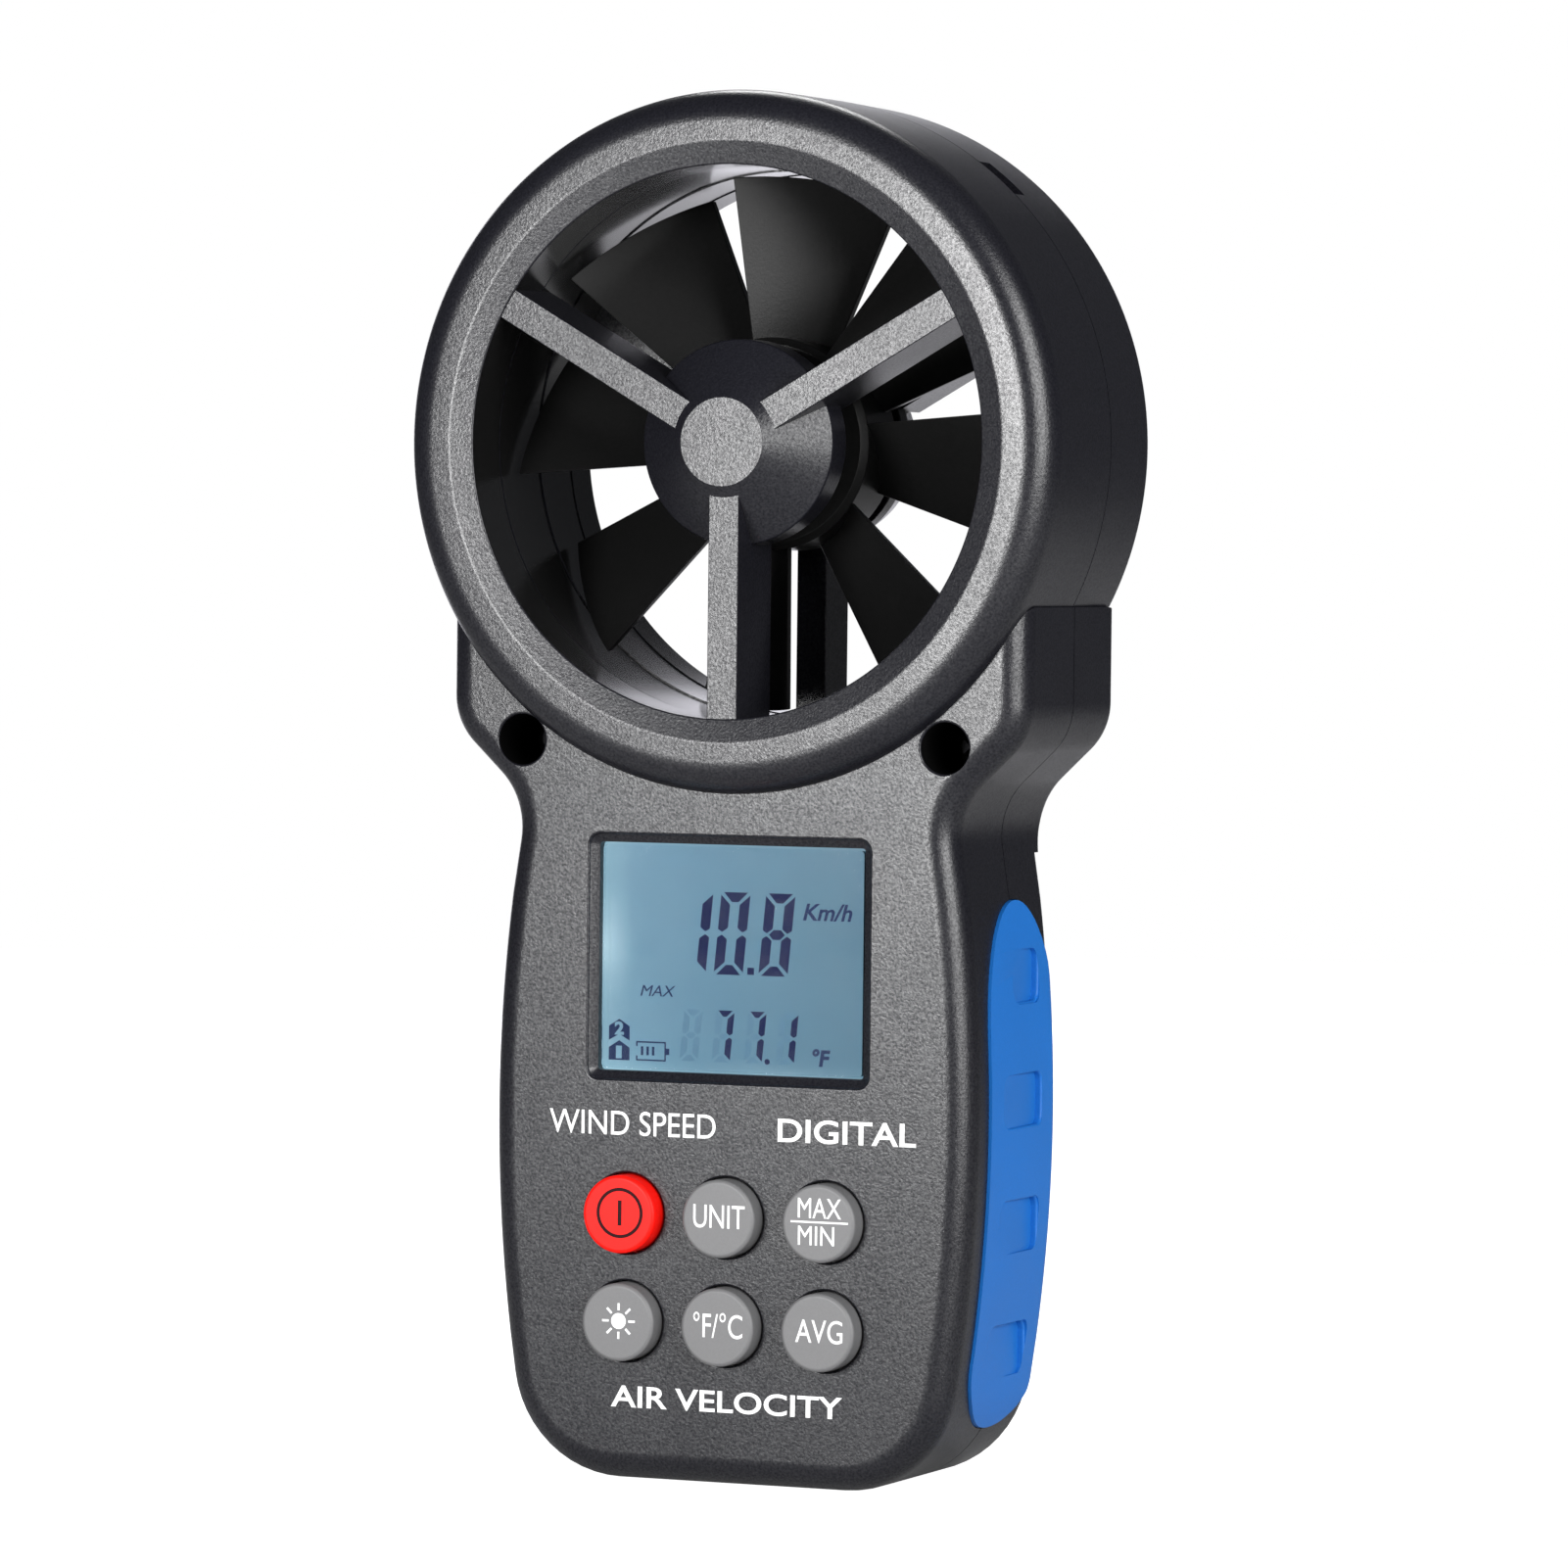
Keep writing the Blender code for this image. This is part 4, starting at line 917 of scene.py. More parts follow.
def rear_hub():
    """The hub behind the rotor: a cup for the pickup, with a boss for the rear bearing."""
    cup_inside = 11.0
    cup_outside = 12.4
    cup_back = BACK - 0.6
    cup_floor = BACK - 2.4
    cup_front = BACK - 8.8
    boss_front = BACK - 10.6
    bearing_seat = BACK - 8.1
    profile = rounded([
        (0, cup_back, 0),
        (10.2, cup_back, 0.6),
        (11.2, cup_back - 1.0, 0.6),
        (cup_outside, BACK - 6.5, 0.8),
        (cup_outside, cup_front, 0.2),
        (cup_inside, cup_front, 0.2),
        (cup_inside, cup_floor, 0),
        (BEARING_BOSS_RADIUS, cup_floor, 0),
        (BEARING_BOSS_RADIUS, boss_front, 0),
        (BEARING_RADIUS, boss_front, 0),
        (BEARING_RADIUS, bearing_seat, 0),
        (0, bearing_seat, 0),
    ], 4)
    return turned("rear_hub", profile, 0, RING_Z, HUB_STEPS, closed=False)


def door_opening():
    """The stepped hole in the handle's back for the battery door and its two tabs."""
    gap = 0.18
    half_slot = 3.2
    height = DOOR_TOP - DOOR_BOTTOM + 2 * gap
    outline = rounded_box(2 * (DOOR_HALF_WIDTH + gap), height, 2.3, z=DOOR_MIDDLE)
    seat = pit("door_seat", outline, HANDLE_BACK, HANDLE_BACK - DOOR_THICKNESS - CLEARANCE, 0.2)
    inside_low = (-TRAY_X, TRAY_FRONT + 0.9, BATTERY_LOW.z - CLEARANCE)
    inside = block("tray_inside", inside_low, (TRAY_X, HANDLE_BACK - 1, TRAY_TOP))
    slots = []
    for side, label in SIDES:
        low = (side * TAB_X - half_slot, HANDLE_BACK - 4.4, DOOR_TOP - 3.0)
        high = (side * TAB_X + half_slot, HANDLE_BACK - 1.0, DOOR_TOP + 2.0)
        slots.append(block(f"tab_slot_{label}", low, high))
    return [seat, inside, *slots]


def pry_notch(side, label):
    """A short groove across the rear half's outer edge, just behind the seam."""
    angle = math.radians(90 - side * 40)
    half_length = 3.0
    notch = block(f"pry_notch_{label}", (-half_length, SEAM - 1, -1.6), (half_length, SEAM + 3.4, 1.5))
    rim = Vector((math.cos(angle), math.sin(angle))) * RING_RADIUS
    place = Matrix.Translation(Vector((rim.x, 0, RING_Z + rim.y)) * MM)
    notch.matrix_world = place @ Matrix.Rotation(math.pi / 2 - angle, 4, "Y")
    return notch


def sensor_cuts():
    """The pickup cable's groove down the lower spoke, and the thermistor's hole through the duct's wall."""
    half_groove = 0.95
    low = (-half_groove, BACK - 5.3, RING_Z - DUCT_RADIUS - 3.0)
    high = (half_groove, BACK - 3.3, RING_Z - 10.2)
    hole_place = thermistor_frame(DUCT_RADIUS + 1.2)
    return [block("cable_groove", low, high), cone("thermistor_hole", 1.5, 1.5, 4.0, hole_place)]


def shoulder_back():
    """The back of the shoulders, as deep as the air ring and sloping down to the handle's back below them."""
    outline = grown(handle_outline(), -0.04)
    pad = rounded_prism("shoulder_back", outline, SEAM - 1.5, BACK, 0, EDGE_RADIUS)
    front, back = SEAM - 3, BACK + 1
    slope_low = (13.6, 75)
    slope_high = (BACK, 88.5)
    above = 110
    section = [(front, slope_low[1]), slope_low, slope_high]
    section += [(back, slope_high[1]), (back, above), (front, above)]
    slope = lofted("shoulder_slope", [[(x, y, z) for y, z in section] for x in (-RING_RADIUS, RING_RADIUS)])
    return keep_inside(pad, slope)


def rear_shell():
    """The rear shell: handle back with the battery tray, rear of the air ring, spokes and rear hub."""
    case = rear_ring()
    shell = rounded_prism("rear_face", handle_outline(), SEAM - 2, HANDLE_BACK, 0, EDGE_RADIUS)
    join(shell, shoulder_back())
    cut(shell, cylinder("rear_face_core", 0, RING_Z, DUCT_RADIUS + 1.2, SEAM - 3, BACK + 1, RING_STEPS))
    join(case, shell)
    cut(case, *case_cavity("rear_hollow", (SEAM - 5, HANDLE_BACK - WALL), (SEAM - 4, BACK - 2.6)))
    cut(case, half_space("before_seam", SEAM - 9, SEAM + SEAM_GAP))
    inner_back = HANDLE_BACK - WALL + 0.5
    tray_x = TRAY_X + TRAY_WALL
    tray_low = (-tray_x, TRAY_FRONT, TRAY_BOTTOM - TRAY_WALL)
    tray = block("battery_tray", tray_low, (tray_x, inner_back, TRAY_TOP + 3.0))
    tripod_boss = cylinder("tripod_boss", 0, TRIPOD_Z, 6.6, HANDLE_BACK - 10.4, inner_back)
    join(case, tray, tripod_boss, rear_hub(), *spokes("rear", BACK - 7.2, BACK - 0.2, 11.6))
    seats = door_opening() + sensor_cuts()
    for side, label in SIDES:
        upper = (side * CASE_SCREW.x, CASE_SCREW.z)
        lower = (side * LOWER_SCREW.x, LOWER_SCREW.z)
        boss = cylinder(f"rear_boss_{label}", *upper, NECK_BOSS_RADIUS, SEAM + 0.4, inner_back)
        lower_back = HANDLE_BACK - 1.5
        lower_boss = cylinder(f"rear_lower_boss_{label}", *lower, HEAD_BOSS_RADIUS, SEAM - 1.6, lower_back)
        join(case, boss, lower_boss)
        seats.append(cylinder(f"rear_thread_{label}", *upper, THREAD_RADIUS, SEAM, SEAM + 9.0))
        seats.append(screw_seat(f"rear_seat_{label}", *lower, HANDLE_BACK, SEAM + 3.4, SEAM - 2))
        seats.append(grip_pocket(f"rear_pocket_{label}", side))
        seats.append(pry_notch(side, label))
    seats.append(hole("tripod_hole", 0, TRIPOD_Z, 4.85, HANDLE_BACK, HANDLE_BACK - 8.9, 0.25))
    seats.append(cylinder("door_screw_hole", 0, DOOR_SCREW_Z, 1.7, HANDLE_BACK - 7.5, HANDLE_BACK))
    lead_low = (-3.5, TRAY_FRONT + 1.4, TRAY_TOP - 1)
    seats.append(block("lead_slot", lead_low, (3.5, TRAY_FRONT + 4.4, TRAY_TOP + 5)))
    cut(case, *seats, *seam_grooves("rear"))
    finish_piece(shaded(case), "case", "case", "case_plastic", "rear_case")
    refinish(case, "duct", on_duct_wall)


def thermistor_frame(radius):
    """A frame whose Z axis points out from the ring's centre, at a radius on the thermistor's line."""
    angle = math.radians(-48)
    away = Vector((math.cos(angle), 0, math.sin(angle)))
    place = Vector((0, BACK - 7.0, RING_Z)) + away * radius
    return Matrix.Translation(place) @ away.to_track_quat("Z", "Y").to_matrix().to_4x4()


def thermistor():
    """The bead that feels the air's temperature, on its stem in the duct's wall."""
    bead = bmesh.new()
    bmesh.ops.create_icosphere(bead, subdivisions=4, radius=1.2, matrix=thermistor_frame(DUCT_RADIUS - 1.0))
    obj = add_object("thermistor_bead", bead)
    join(obj, cone("thermistor_stem", 0.8, 0.8, 6.0, thermistor_frame(DUCT_RADIUS + 2.0)))
    finish_piece(shaded(obj), "black_plastic", "case", "black_plastic", "thermistor")


# ---------------------------------------------------------------------- rotor


BLADES = 8
BLADE_PITCH = math.radians(37.5)
FIRST_BLADE = math.radians(-7.9)
HUB_RADIUS = 12.7


def blade(number):
    """One flat blade, set at the pitch angle, with its tip curved to the duct and its edges softened."""
    tip_radius = 31.8
    tip_half_chord = 8.15
    root_half_chord = 4.1
    half_thickness = 0.5
    soft_edge = 0.16
    tip_steps = 20
    root = HUB_RADIUS - 0.9
    outline = [(root, -root_half_chord)]
    for step in range(tip_steps + 1):
        chord = tip_half_chord * (2 * step / tip_steps - 1)
        outline.append((math.sqrt(tip_radius**2 - chord**2), chord))
    outline.append((root, root_half_chord))
    half_depth = half_thickness / math.cos(BLADE_PITCH)
    loops = []
    for shift in (-half_depth, half_depth):
        loops.append([(out, shift - chord * math.tan(BLADE_PITCH), chord) for out, chord in outline])
    made = bevelled(lofted(f"blade_{number + 1}", loops), soft_edge, 2)
    turn = FIRST_BLADE + number * 2 * math.pi / BLADES
    middle_of_ring = Vector((0, ROTOR_Y, RING_Z)) * MM
    made.data.transform(Matrix.Translation(middle_of_ring) @ Matrix.Rotation(-turn, 4, "Y"))
    return made


def impeller():
    """The rotor: a cup-shaped hub with eight blades, moulded in one piece."""
    front = FRONT + 14.0
    back = FRONT + 23.4
    cup_floor = front + 1.6
    shaft_radius = 1.05
    boss_radius = 3.3
    cup_radius = HUB_RADIUS - 1.4
    profile = rounded([
        (shaft_radius, front, 0),
        (HUB_RADIUS - 0.8, front, 0.1),
        (HUB_RADIUS, front + 0.8, 0.3),
        (HUB_RADIUS, back, 0.2),
        (cup_radius, back, 0.2),
        (cup_radius, cup_floor, 0.3),
        (boss_radius, cup_floor, 0),
        (boss_radius, back, 0.2),
        (shaft_radius, back, 0),
    ], 4)
    rotor = turned("impeller", profile, 0, RING_Z, HUB_STEPS)
    join(rotor, *[blade(number) for number in range(BLADES)])
    finish_piece(shaded(rotor), "rotor", "rotor_assembly", "rotor_plastic", "rotor")


# -------------------------------------------------------------- handle pieces


def finger_recess(name, side, z, front):
    """The cutter for a recess in a grip that starts level at its front and gets deeper towards the back."""
    half_height = 3.15
    rear = 8.6
    front_depth = 0.04
    rear_depth = 0.85
    lip = 0.3
    surface = belly_x(z) + GRIP_PROUD
    low, high = z - half_height, z + half_height
    outline = rounded([(rear, low, 1.3), (rear, high, 1.3), (front, high, 1.8), (front, low, 1.8)], 6)
    # Each row is how far the outline grows, its share of the full depth, and its height above the surface.
    rows = [(lip, 0.0, 5.0)]
    rows += [(inset, 0.4 * setback / lip, 0.0) for inset, setback in edge_rows(lip, 5)[1:]]
    rows.append((0.0, 1.0, 0.0))
    loops = []
    for growth, share, above in rows:
        loop = []
        for y, height in grown(outline, growth):
            along = min(max((y - front) / (rear - front), 0.0), 1.0)
            depth = share * (front_depth + (rear_depth - front_depth) * along)
            loop.append((side * (surface - depth + above), y, height))
        loops.append(loop)
    return lofted(name, loops)


def grips():
    """The soft grips on both sides, each with four finger recesses given by height and front edge."""
    recesses = ((16.1, -3.6), (31.0, -3.6), (46.0, -3.6), (60.7, 0.4))
    for side, label in SIDES:
        grip = handle_body(f"{label}_side_grip", GRIP_PROUD)
        keep_inside(grip, grip_prism(f"{label}_grip_cutter", side, 0.0))
        cut(grip, handle_body(f"{label}_grip_core", -1.1))
        for number, (z, front) in enumerate(recesses, 1):
            cut(grip, finger_recess(f"{label}_recess_{number}", side, z, front))
        finish_piece(shaded(grip), "grip", "case", "grip_rubber", f"{label}_grip")


def key_cap(key, place, look, slot):
    """One round push button with a soft edge and a flange behind the face."""
    flange_front = INNER_FACE + CLEARANCE
    flange_radius = KEY_RADIUS + KEY_FLANGE
    profile = rounded([
        (0, KEY_TOP, 0),
        (KEY_RADIUS, KEY_TOP, 0.5),
        (KEY_RADIUS, flange_front, 0),
        (flange_radius, flange_front, 0.15),
        (flange_radius, KEY_BACK, 0),
        (0, KEY_BACK, 0),
    ], 8)
    cap = turned(f"{key}_cap", profile, place.x, place.z, 96, closed=False)
    finish_piece(shaded(cap), look, f"{key}_key", slot, f"{key}_button")


PRINT_FRONT = 0.03  # printing stands this far proud of what it is printed on
PRINT_BACK = 0.02  # and reaches this far into it


def lettering(name, text, low, high, surface, weight=0.0, slant=0.0):
    """Flat letters that fill the box from low to high, as (x, z), just in front of a surface."""
    curve = bpy.data.curves.new(name, "FONT")
    curve.body = text
    curve.offset = weight
    curve.shear = slant
    curve.extrude = 0.5  # any depth does: the letters' front and back are placed below
    curve.resolution_u = 6
    writer = bpy.data.objects.new(name, curve)
    bpy.context.scene.collection.objects.link(writer)
    bpy.context.view_layer.update()
    graph = bpy.context.evaluated_depsgraph_get()
    mesh = bpy.data.meshes.new_from_object(writer.evaluated_get(graph))
    bpy.data.objects.remove(writer)
    places = [vertex.co.copy() for vertex in mesh.vertices]
    left, right = min(place.x for place in places), max(place.x for place in places)
    bottom, top = min(place.y for place in places), max(place.y for place in places)
    for vertex, place in zip(mesh.vertices, places):
        x = low[0] + (place.x - left) / (right - left) * (high[0] - low[0])
        z = low[1] + (place.y - bottom) / (top - bottom) * (high[1] - low[1])
        y = surface - PRINT_FRONT if place.z > 0 else surface + PRINT_BACK
        vertex.co = Vector((x, y, z)) * MM
    obj = bpy.data.objects.new(name, mesh)
    bpy.context.scene.collection.objects.link(obj)
    return obj


def centred(x, z, width, height):
    """The low and high corners of a box about a point."""
    return (x - width / 2, z - height / 2), (x + width / 2, z + height / 2)


def printed(name, outlines, surface):
    """Flat printed shapes on a surface."""
    return prisms(name, outlines, surface - PRINT_FRONT, surface + PRINT_BACK)


def bar(x, z, width, height, turn=0.0):
    """A rectangle's outline about a point, turned by an angle."""
    along = Vector((math.cos(turn), math.sin(turn)))
    up = Vector((-along.y, along.x))
    centre = Vector((x, z))
    signs = [(-1, -1), (1, -1), (1, 1), (-1, 1)]
    return [tuple(centre + along * a * width / 2 + up * b * height / 2) for a, b in signs]


def circle(x, z, radius, steps=SMALL_STEPS):
    """A circle's outline, without its first point repeated at its end."""
    return arc((x, z), radius, 0, 2 * math.pi * (steps - 1) / steps, steps - 1)


def ring_bars(x, z, radius, line):
    """A printed circle as a chain of short bars that share their ends."""
    steps = 64
    outlines = []
    for step in range(steps):
        start = 2 * math.pi * step / steps
        end = 2 * math.pi * (step + 1) / steps
        outer = arc((x, z), radius + line / 2, start, end, 1)
        inner = arc((x, z), radius - line / 2, end, start, 1)
        outlines.append(outer + inner)
    return outlines


def power_legend(x, z):
    outlines = ring_bars(x, z, 2.8, 0.4) + [bar(x, z, 0.48, 3.0)]
    return [(printed("power_symbol", outlines, KEY_TOP), "dark_print")]


def unit_legend(x, z):
    return [(lettering("unit_legend", "UNIT", *centred(x, z + 0.1, 6.6, 2.75), KEY_TOP), "print")]


def max_min_legend(x, z):
    return [
        (lettering("max_legend", "MAX", *centred(x, z + 1.65, 5.5, 2.35), KEY_TOP), "print"),
        (printed("max_min_line", [bar(x, z, 7.3, 0.22)], KEY_TOP), "print"),
        (lettering("min_legend", "MIN", *centred(x - 0.4, z - 1.6, 4.6, 2.25), KEY_TOP), "print"),
    ]


def backlight_legend(x, z):
    """A small sun: a disc with eight short rays."""
    rays = 8
    ray_distance = 1.7
    outlines = [circle(x, z, 0.95)]
    for ray in range(rays):
        turn = 2 * math.pi * ray / rays
        ray_x = x + ray_distance * math.cos(turn)
        ray_z = z + ray_distance * math.sin(turn)
        outlines.append(bar(ray_x, ray_z, 0.85, 0.27, turn))
    return [(printed("sun_symbol", outlines, KEY_TOP), "print")]


def temperature_legend(x, z):
    return [(lettering("temperature_legend", "°F/°C", *centred(x, z + 0.1, 6.3, 3.0), KEY_TOP), "print")]


def average_legend(x, z):
    return [(lettering("average_legend", "AVG", *centred(x + 0.1, z, 6.0, 2.75), KEY_TOP), "print")]


LEGEND_SHIFT = 0.2  # each legend sits this far right of its button's middle, and above it
LEGENDS = {
    "power": power_legend,
    "unit": unit_legend,
    "max_min": max_min_legend,
    "backlight": backlight_legend,
    "temperature": temperature_legend,
    "average": average_legend,
}


def keys():
    """The six push buttons with their legends."""
    for key, place in KEY_PLACES.items():
        cap_look, slot = ("red_key", "button_red") if key == "power" else ("key", "button_grey")
        key_cap(key, place, cap_look, slot)
        for legend, look in LEGENDS[key](place.x + LEGEND_SHIFT, place.z + LEGEND_SHIFT):
            finish_piece(legend, look, f"{key}_key", slot)


def face_printing():
    """Plain descriptive words on the handle's face, each with its box's two corners and its extra weight."""
    rows = (
        ("wind_speed_words", "WIND SPEED", (-23.0, 41.1), (-1.4, 44.0), 0.0),
        ("digital_word", "DIGITAL", (6.6, 41.1), (24.2, 43.9), 0.014),
        ("air_velocity_words", "AIR VELOCITY", (-14.6, 8.7), (15.2, 11.3), 0.014),
    )
    for name, text, low, high, weight in rows:
        words = lettering(name, text, low, high, FACE, weight)
        finish_piece(words, "print", "case", "case_plastic")


# -------------------------------------------------------------------- display


SEGMENTS = {
    "0": "abcdef",
    "1": "bc",
    "7": "abc",
    "8": "abcdefg",
}
DIGIT_SLANT = 0.095


def segment_outlines(shown, right, low, width, height, stroke):
    """The lit bars of one slanted seven-segment digit whose top right corner is at right."""
    gap = 0.09 * stroke + 0.06
    half = height / 2
    upright = stroke * 1.08
    upper = [
        (0, height - 2 * gap),
        (0, half + stroke * 0.3 + gap),
        (upright * 0.45, half + gap),
        (upright, half + stroke * 0.45 + gap),
        (upright, height - stroke - 2 * gap),
    ]
    top = [
        (2 * gap, height),
        (upright + 1.2 * gap, height - stroke),
        (width - upright - 1.2 * gap, height - stroke),
        (width - 2 * gap, height),
    ]
    centre = [
        (upright * 0.55 + gap, half),
        (upright + gap, half - stroke / 2),
        (width - upright - gap, half - stroke / 2),
        (width - upright * 0.55 - gap, half),
        (width - upright - gap, half + stroke / 2),
        (upright + gap, half + stroke / 2),
    ]
    shapes = {
        "a": top,
        "b": [(width - x, z) for x, z in reversed(upper)],
        "c": [(width - x, height - z) for x, z in upper],
        "d": [(x, height - z) for x, z in reversed(top)],
        "e": [(x, height - z) for x, z in reversed(upper)],
        "f": upper,
        "g": centre,
    }
    left = right - width - DIGIT_SLANT * height
    return [[(left + x + DIGIT_SLANT * z, low + z) for x, z in shapes[name]] for name in shown]


def digits(text, right_edges, **size):
    """The lit bars of several digits, each placed by its right edge."""
    outlines = []
    for digit, right in zip(text, right_edges):
        outlines += segment_outlines(SEGMENTS[digit], right, **size)
    return outlines


def shows(name, outlines, look):
    """Flat figures on the display's glass."""
    made = prisms(name, outlines, GLASS_FRONT - PRINT_FRONT, GLASS_FRONT + PRINT_BACK / 2)
    finish_piece(made, look, "case", "lcd_glass")


def shows_text(name, text, low, high, look, weight=0.0, slant=0.0, layer=0):
    """Letters on the display's glass. A higher layer lies in front of a lower one."""
    made = lettering(name, text, low, high, GLASS_FRONT - PRINT_FRONT * layer, weight, slant)
    finish_piece(made, look, "case", "lcd_glass")


def house(low, wall, notch=0.0):
    """A small arrow-like plate with a pointed top and, if asked, a pointed notch below."""
    middle_x = -15.0
    half_width = 1.35
    left, right = middle_x - half_width, middle_x + half_width
    eaves = low + wall
    peak = eaves + 0.85
    foot = [(left, low), (middle_x, low + notch), (right, low)]
    return foot + [(right, eaves), (middle_x, peak), (left, eaves)]


def battery_sign():
    """A small outlined battery with three bars inside."""
    line = 0.18
    middle_x = -10.9
    middle_z = 51.08
    sides = [
        bar(middle_x, 52.15, 3.7, line),
        bar(middle_x, 50.0, 3.7, line),
        bar(-12.7, 51.9, line, 0.55),
        bar(-12.7, 50.25, line, 0.55),
        bar(-9.0, middle_z, line, 2.33),
        bar(-8.7, middle_z, 0.45, 0.75),
    ]
    return sides + [bar(-12.0 + 0.72 * step, middle_z + 0.02, 0.3, 1.05) for step in range(3)]


def display_figures():
    """The readings, their units, and the small symbols, each as flat figures on the glass."""
    large = dict(low=60.5, width=3.75, height=9.8, stroke=1.16)
    speed_point = bar(1.95, 61.0, 0.85, 0.85)
    shows("speed_digits", digits("108", (-2.95, 1.85, 7.62), **large) + [speed_point], "figures")
    small = dict(low=50.1, width=2.35, height=6.15, stroke=0.74)
    right_edges = (-0.05, 4.08, 8.2)
    temperature_point = circle(4.2, 50.35, 0.34, 16)
    shows("temperature_digits", digits("771", right_edges, **small) + [temperature_point], "figures")
    ghosts = []
    for unlit, right in zip(("defg", "defg", "adefg", "abcdefg"), (*right_edges, -4.2)):
        ghosts += segment_outlines(unlit, right, **small)
    shows("unlit_segments", ghosts, "ghosts")
    shows_text("speed_unit", "Km/h", (8.6, 67.2), (14.9, 69.25), "small_figures", 0.02, 0.25)
    shows_text("max_word", "MAX", (-12.3, 57.65), (-7.75, 58.95), "small_figures", 0.0, 0.25)
    shows_text("temperature_unit", "°F", (10.0, 50.0), (12.3, 52.1), "small_figures", 0.035, 0.15)
    shows("place_symbols", [house(52.25, 1.7, 0.75), house(49.9, 1.5)], "small_figures")
    shows_text("place_two", "2", (-15.6, 52.9), (-14.4, 54.5), "panel", 0.04, layer=1)
    shows_text("place_one", "1", (-15.4, 50.1), (-14.65, 51.6), "panel", 0.03, layer=1)
    shows("battery_symbol", battery_sign(), "small_figures")


def lens():
    """The clear window over the display."""
    low, high = corners("lcd_lens")
    outline = rounded_box(high.x - low.x, high.z - low.z, 0.5, z=SCREEN_Z)
    made = prism("display_lens", outline, low.y, high.y)
    finish_piece(shaded(made), "lens", "case", "lens_clear", "lcd_lens")


# ------------------------------------------------------- fastenings and power


def cross_recess(name, x, z, top, way, size):
    """The cutter for a cross-head screw's recess, which narrows as it goes down."""
    length = 2 * size
    width = 0.42 * size
    rows = ((-0.2, 1.05), (size * 0.75, 0.35))
    tools = []
    for number, turn in enumerate((math.pi / 4, math.pi * 3 / 4)):
        loops = []
        for depth, share in rows:
            outline = bar(x, z, length * share, width * share, turn)
            loops.append(across(outline, top + way * depth))
        tools.append(lofted(f"{name}_{number}", loops))
    return tools


def screw(node, look, body, way, head_radius, shank_radius, head_height, length):
    """A cross-head screw in a CAD screw's place. Its shank points along +Y or -Y, as way says."""
    low, high = corners(node)
    top = low.y if way > 0 else high.y
    x, z = middle(node).x, middle(node).z
    seat = top + way * head_height
    profile = [(0, top), (head_radius * 0.6, top), (head_radius * 0.92, top + way * head_height * 0.25)]
    profile += [(head_radius, top + way * head_height * 0.5), (head_radius, seat), (shank_radius, seat)]
    pitch = 0.7
    plain_length = 0.6
    root_radius = shank_radius * 0.82
    turns = int((length - 1.0) / pitch)
    for number in range(turns):
        start = seat + way * (plain_length + pitch * number)
        profile += [(root_radius, start), (shank_radius, start + way * pitch / 2)]
    end = seat + way * length
    profile += [(shank_radius * 0.8, end - way * 0.3), (shank_radius * 0.4, end), (0, end)]
    made = turned(f"{node}_part", profile, x, z, SMALL_STEPS, closed=False)
    cut(made, *cross_recess(f"{node}_recess", x, z, top, way, head_radius * 0.62))
    finish_piece(shaded(made), look, body, "steel", node)


def screws():
    """The case's four screws and the door's screw."""
    case_size = dict(head_radius=2.7, shank_radius=1.2, head_height=1.9, length=11.0)
    door_size = dict(head_radius=2.5, shank_radius=1.2, head_height=0.9, length=6.5)
    for _, label in SIDES:
        # painted shade: the upper screws, deep in the front wells, take the dark steel; the lower ones are
        # plain steel
        screw(f"upper_screw_{label}", "painted_shade_steel", "case", 1, **case_size)
        screw(f"lower_screw_{label}", "steel", "case", -1, **case_size)
    screw("door_screw", "steel", "battery_lid", -1, **door_size)


def tripod_insert():
    """The brass insert in the handle's back, with grooves inside for the thread."""
    low, high = INSERT_LOW.y, INSERT_HIGH.y
    outside = 4.7
    bore = 3.1
    mouth = 3.6
    pitch = 1.27
    profile = [(bore, low), (outside, low), (outside, high), (mouth, high)]
    grooves = int((high - low - 1.0) / pitch)
    for number in range(grooves):
        y = high - 0.5 - pitch * number
        profile += [(bore, y), (bore + 0.35, y - pitch / 2)]
    made = turned("threaded_insert", profile, 0, TRIPOD_Z, 64)
    finish_piece(shaded(made), "brass", "case", "brass", "tripod_insert")


def battery_block():
    """A 9 V block battery with its two snap studs."""
    low, high = BATTERY_LOW, BATTERY_HIGH
    top = high.z - 2.4
    stud_x = 6.35
    outline = [(low.x, low.z), (high.x, low.z), (high.x, top), (low.x, top)]
    body = bevelled(prism("battery_block", outline, low.y, high.y), 1.4, 4)
    studs = []
    for (side, label), (base_radius, top_radius) in zip(SIDES, ((2.9, 2.5), (2.4, 2.9))):
        place = Matrix.Translation((side * stud_x, (low.y + high.y) / 2, top + 0.95))
        studs.append(cone(f"{label}_stud", base_radius, top_radius, 2.9, place, 48))
    join(body, *studs)
    finish_piece(shaded(body), "battery", "case", "battery_skin", "battery")


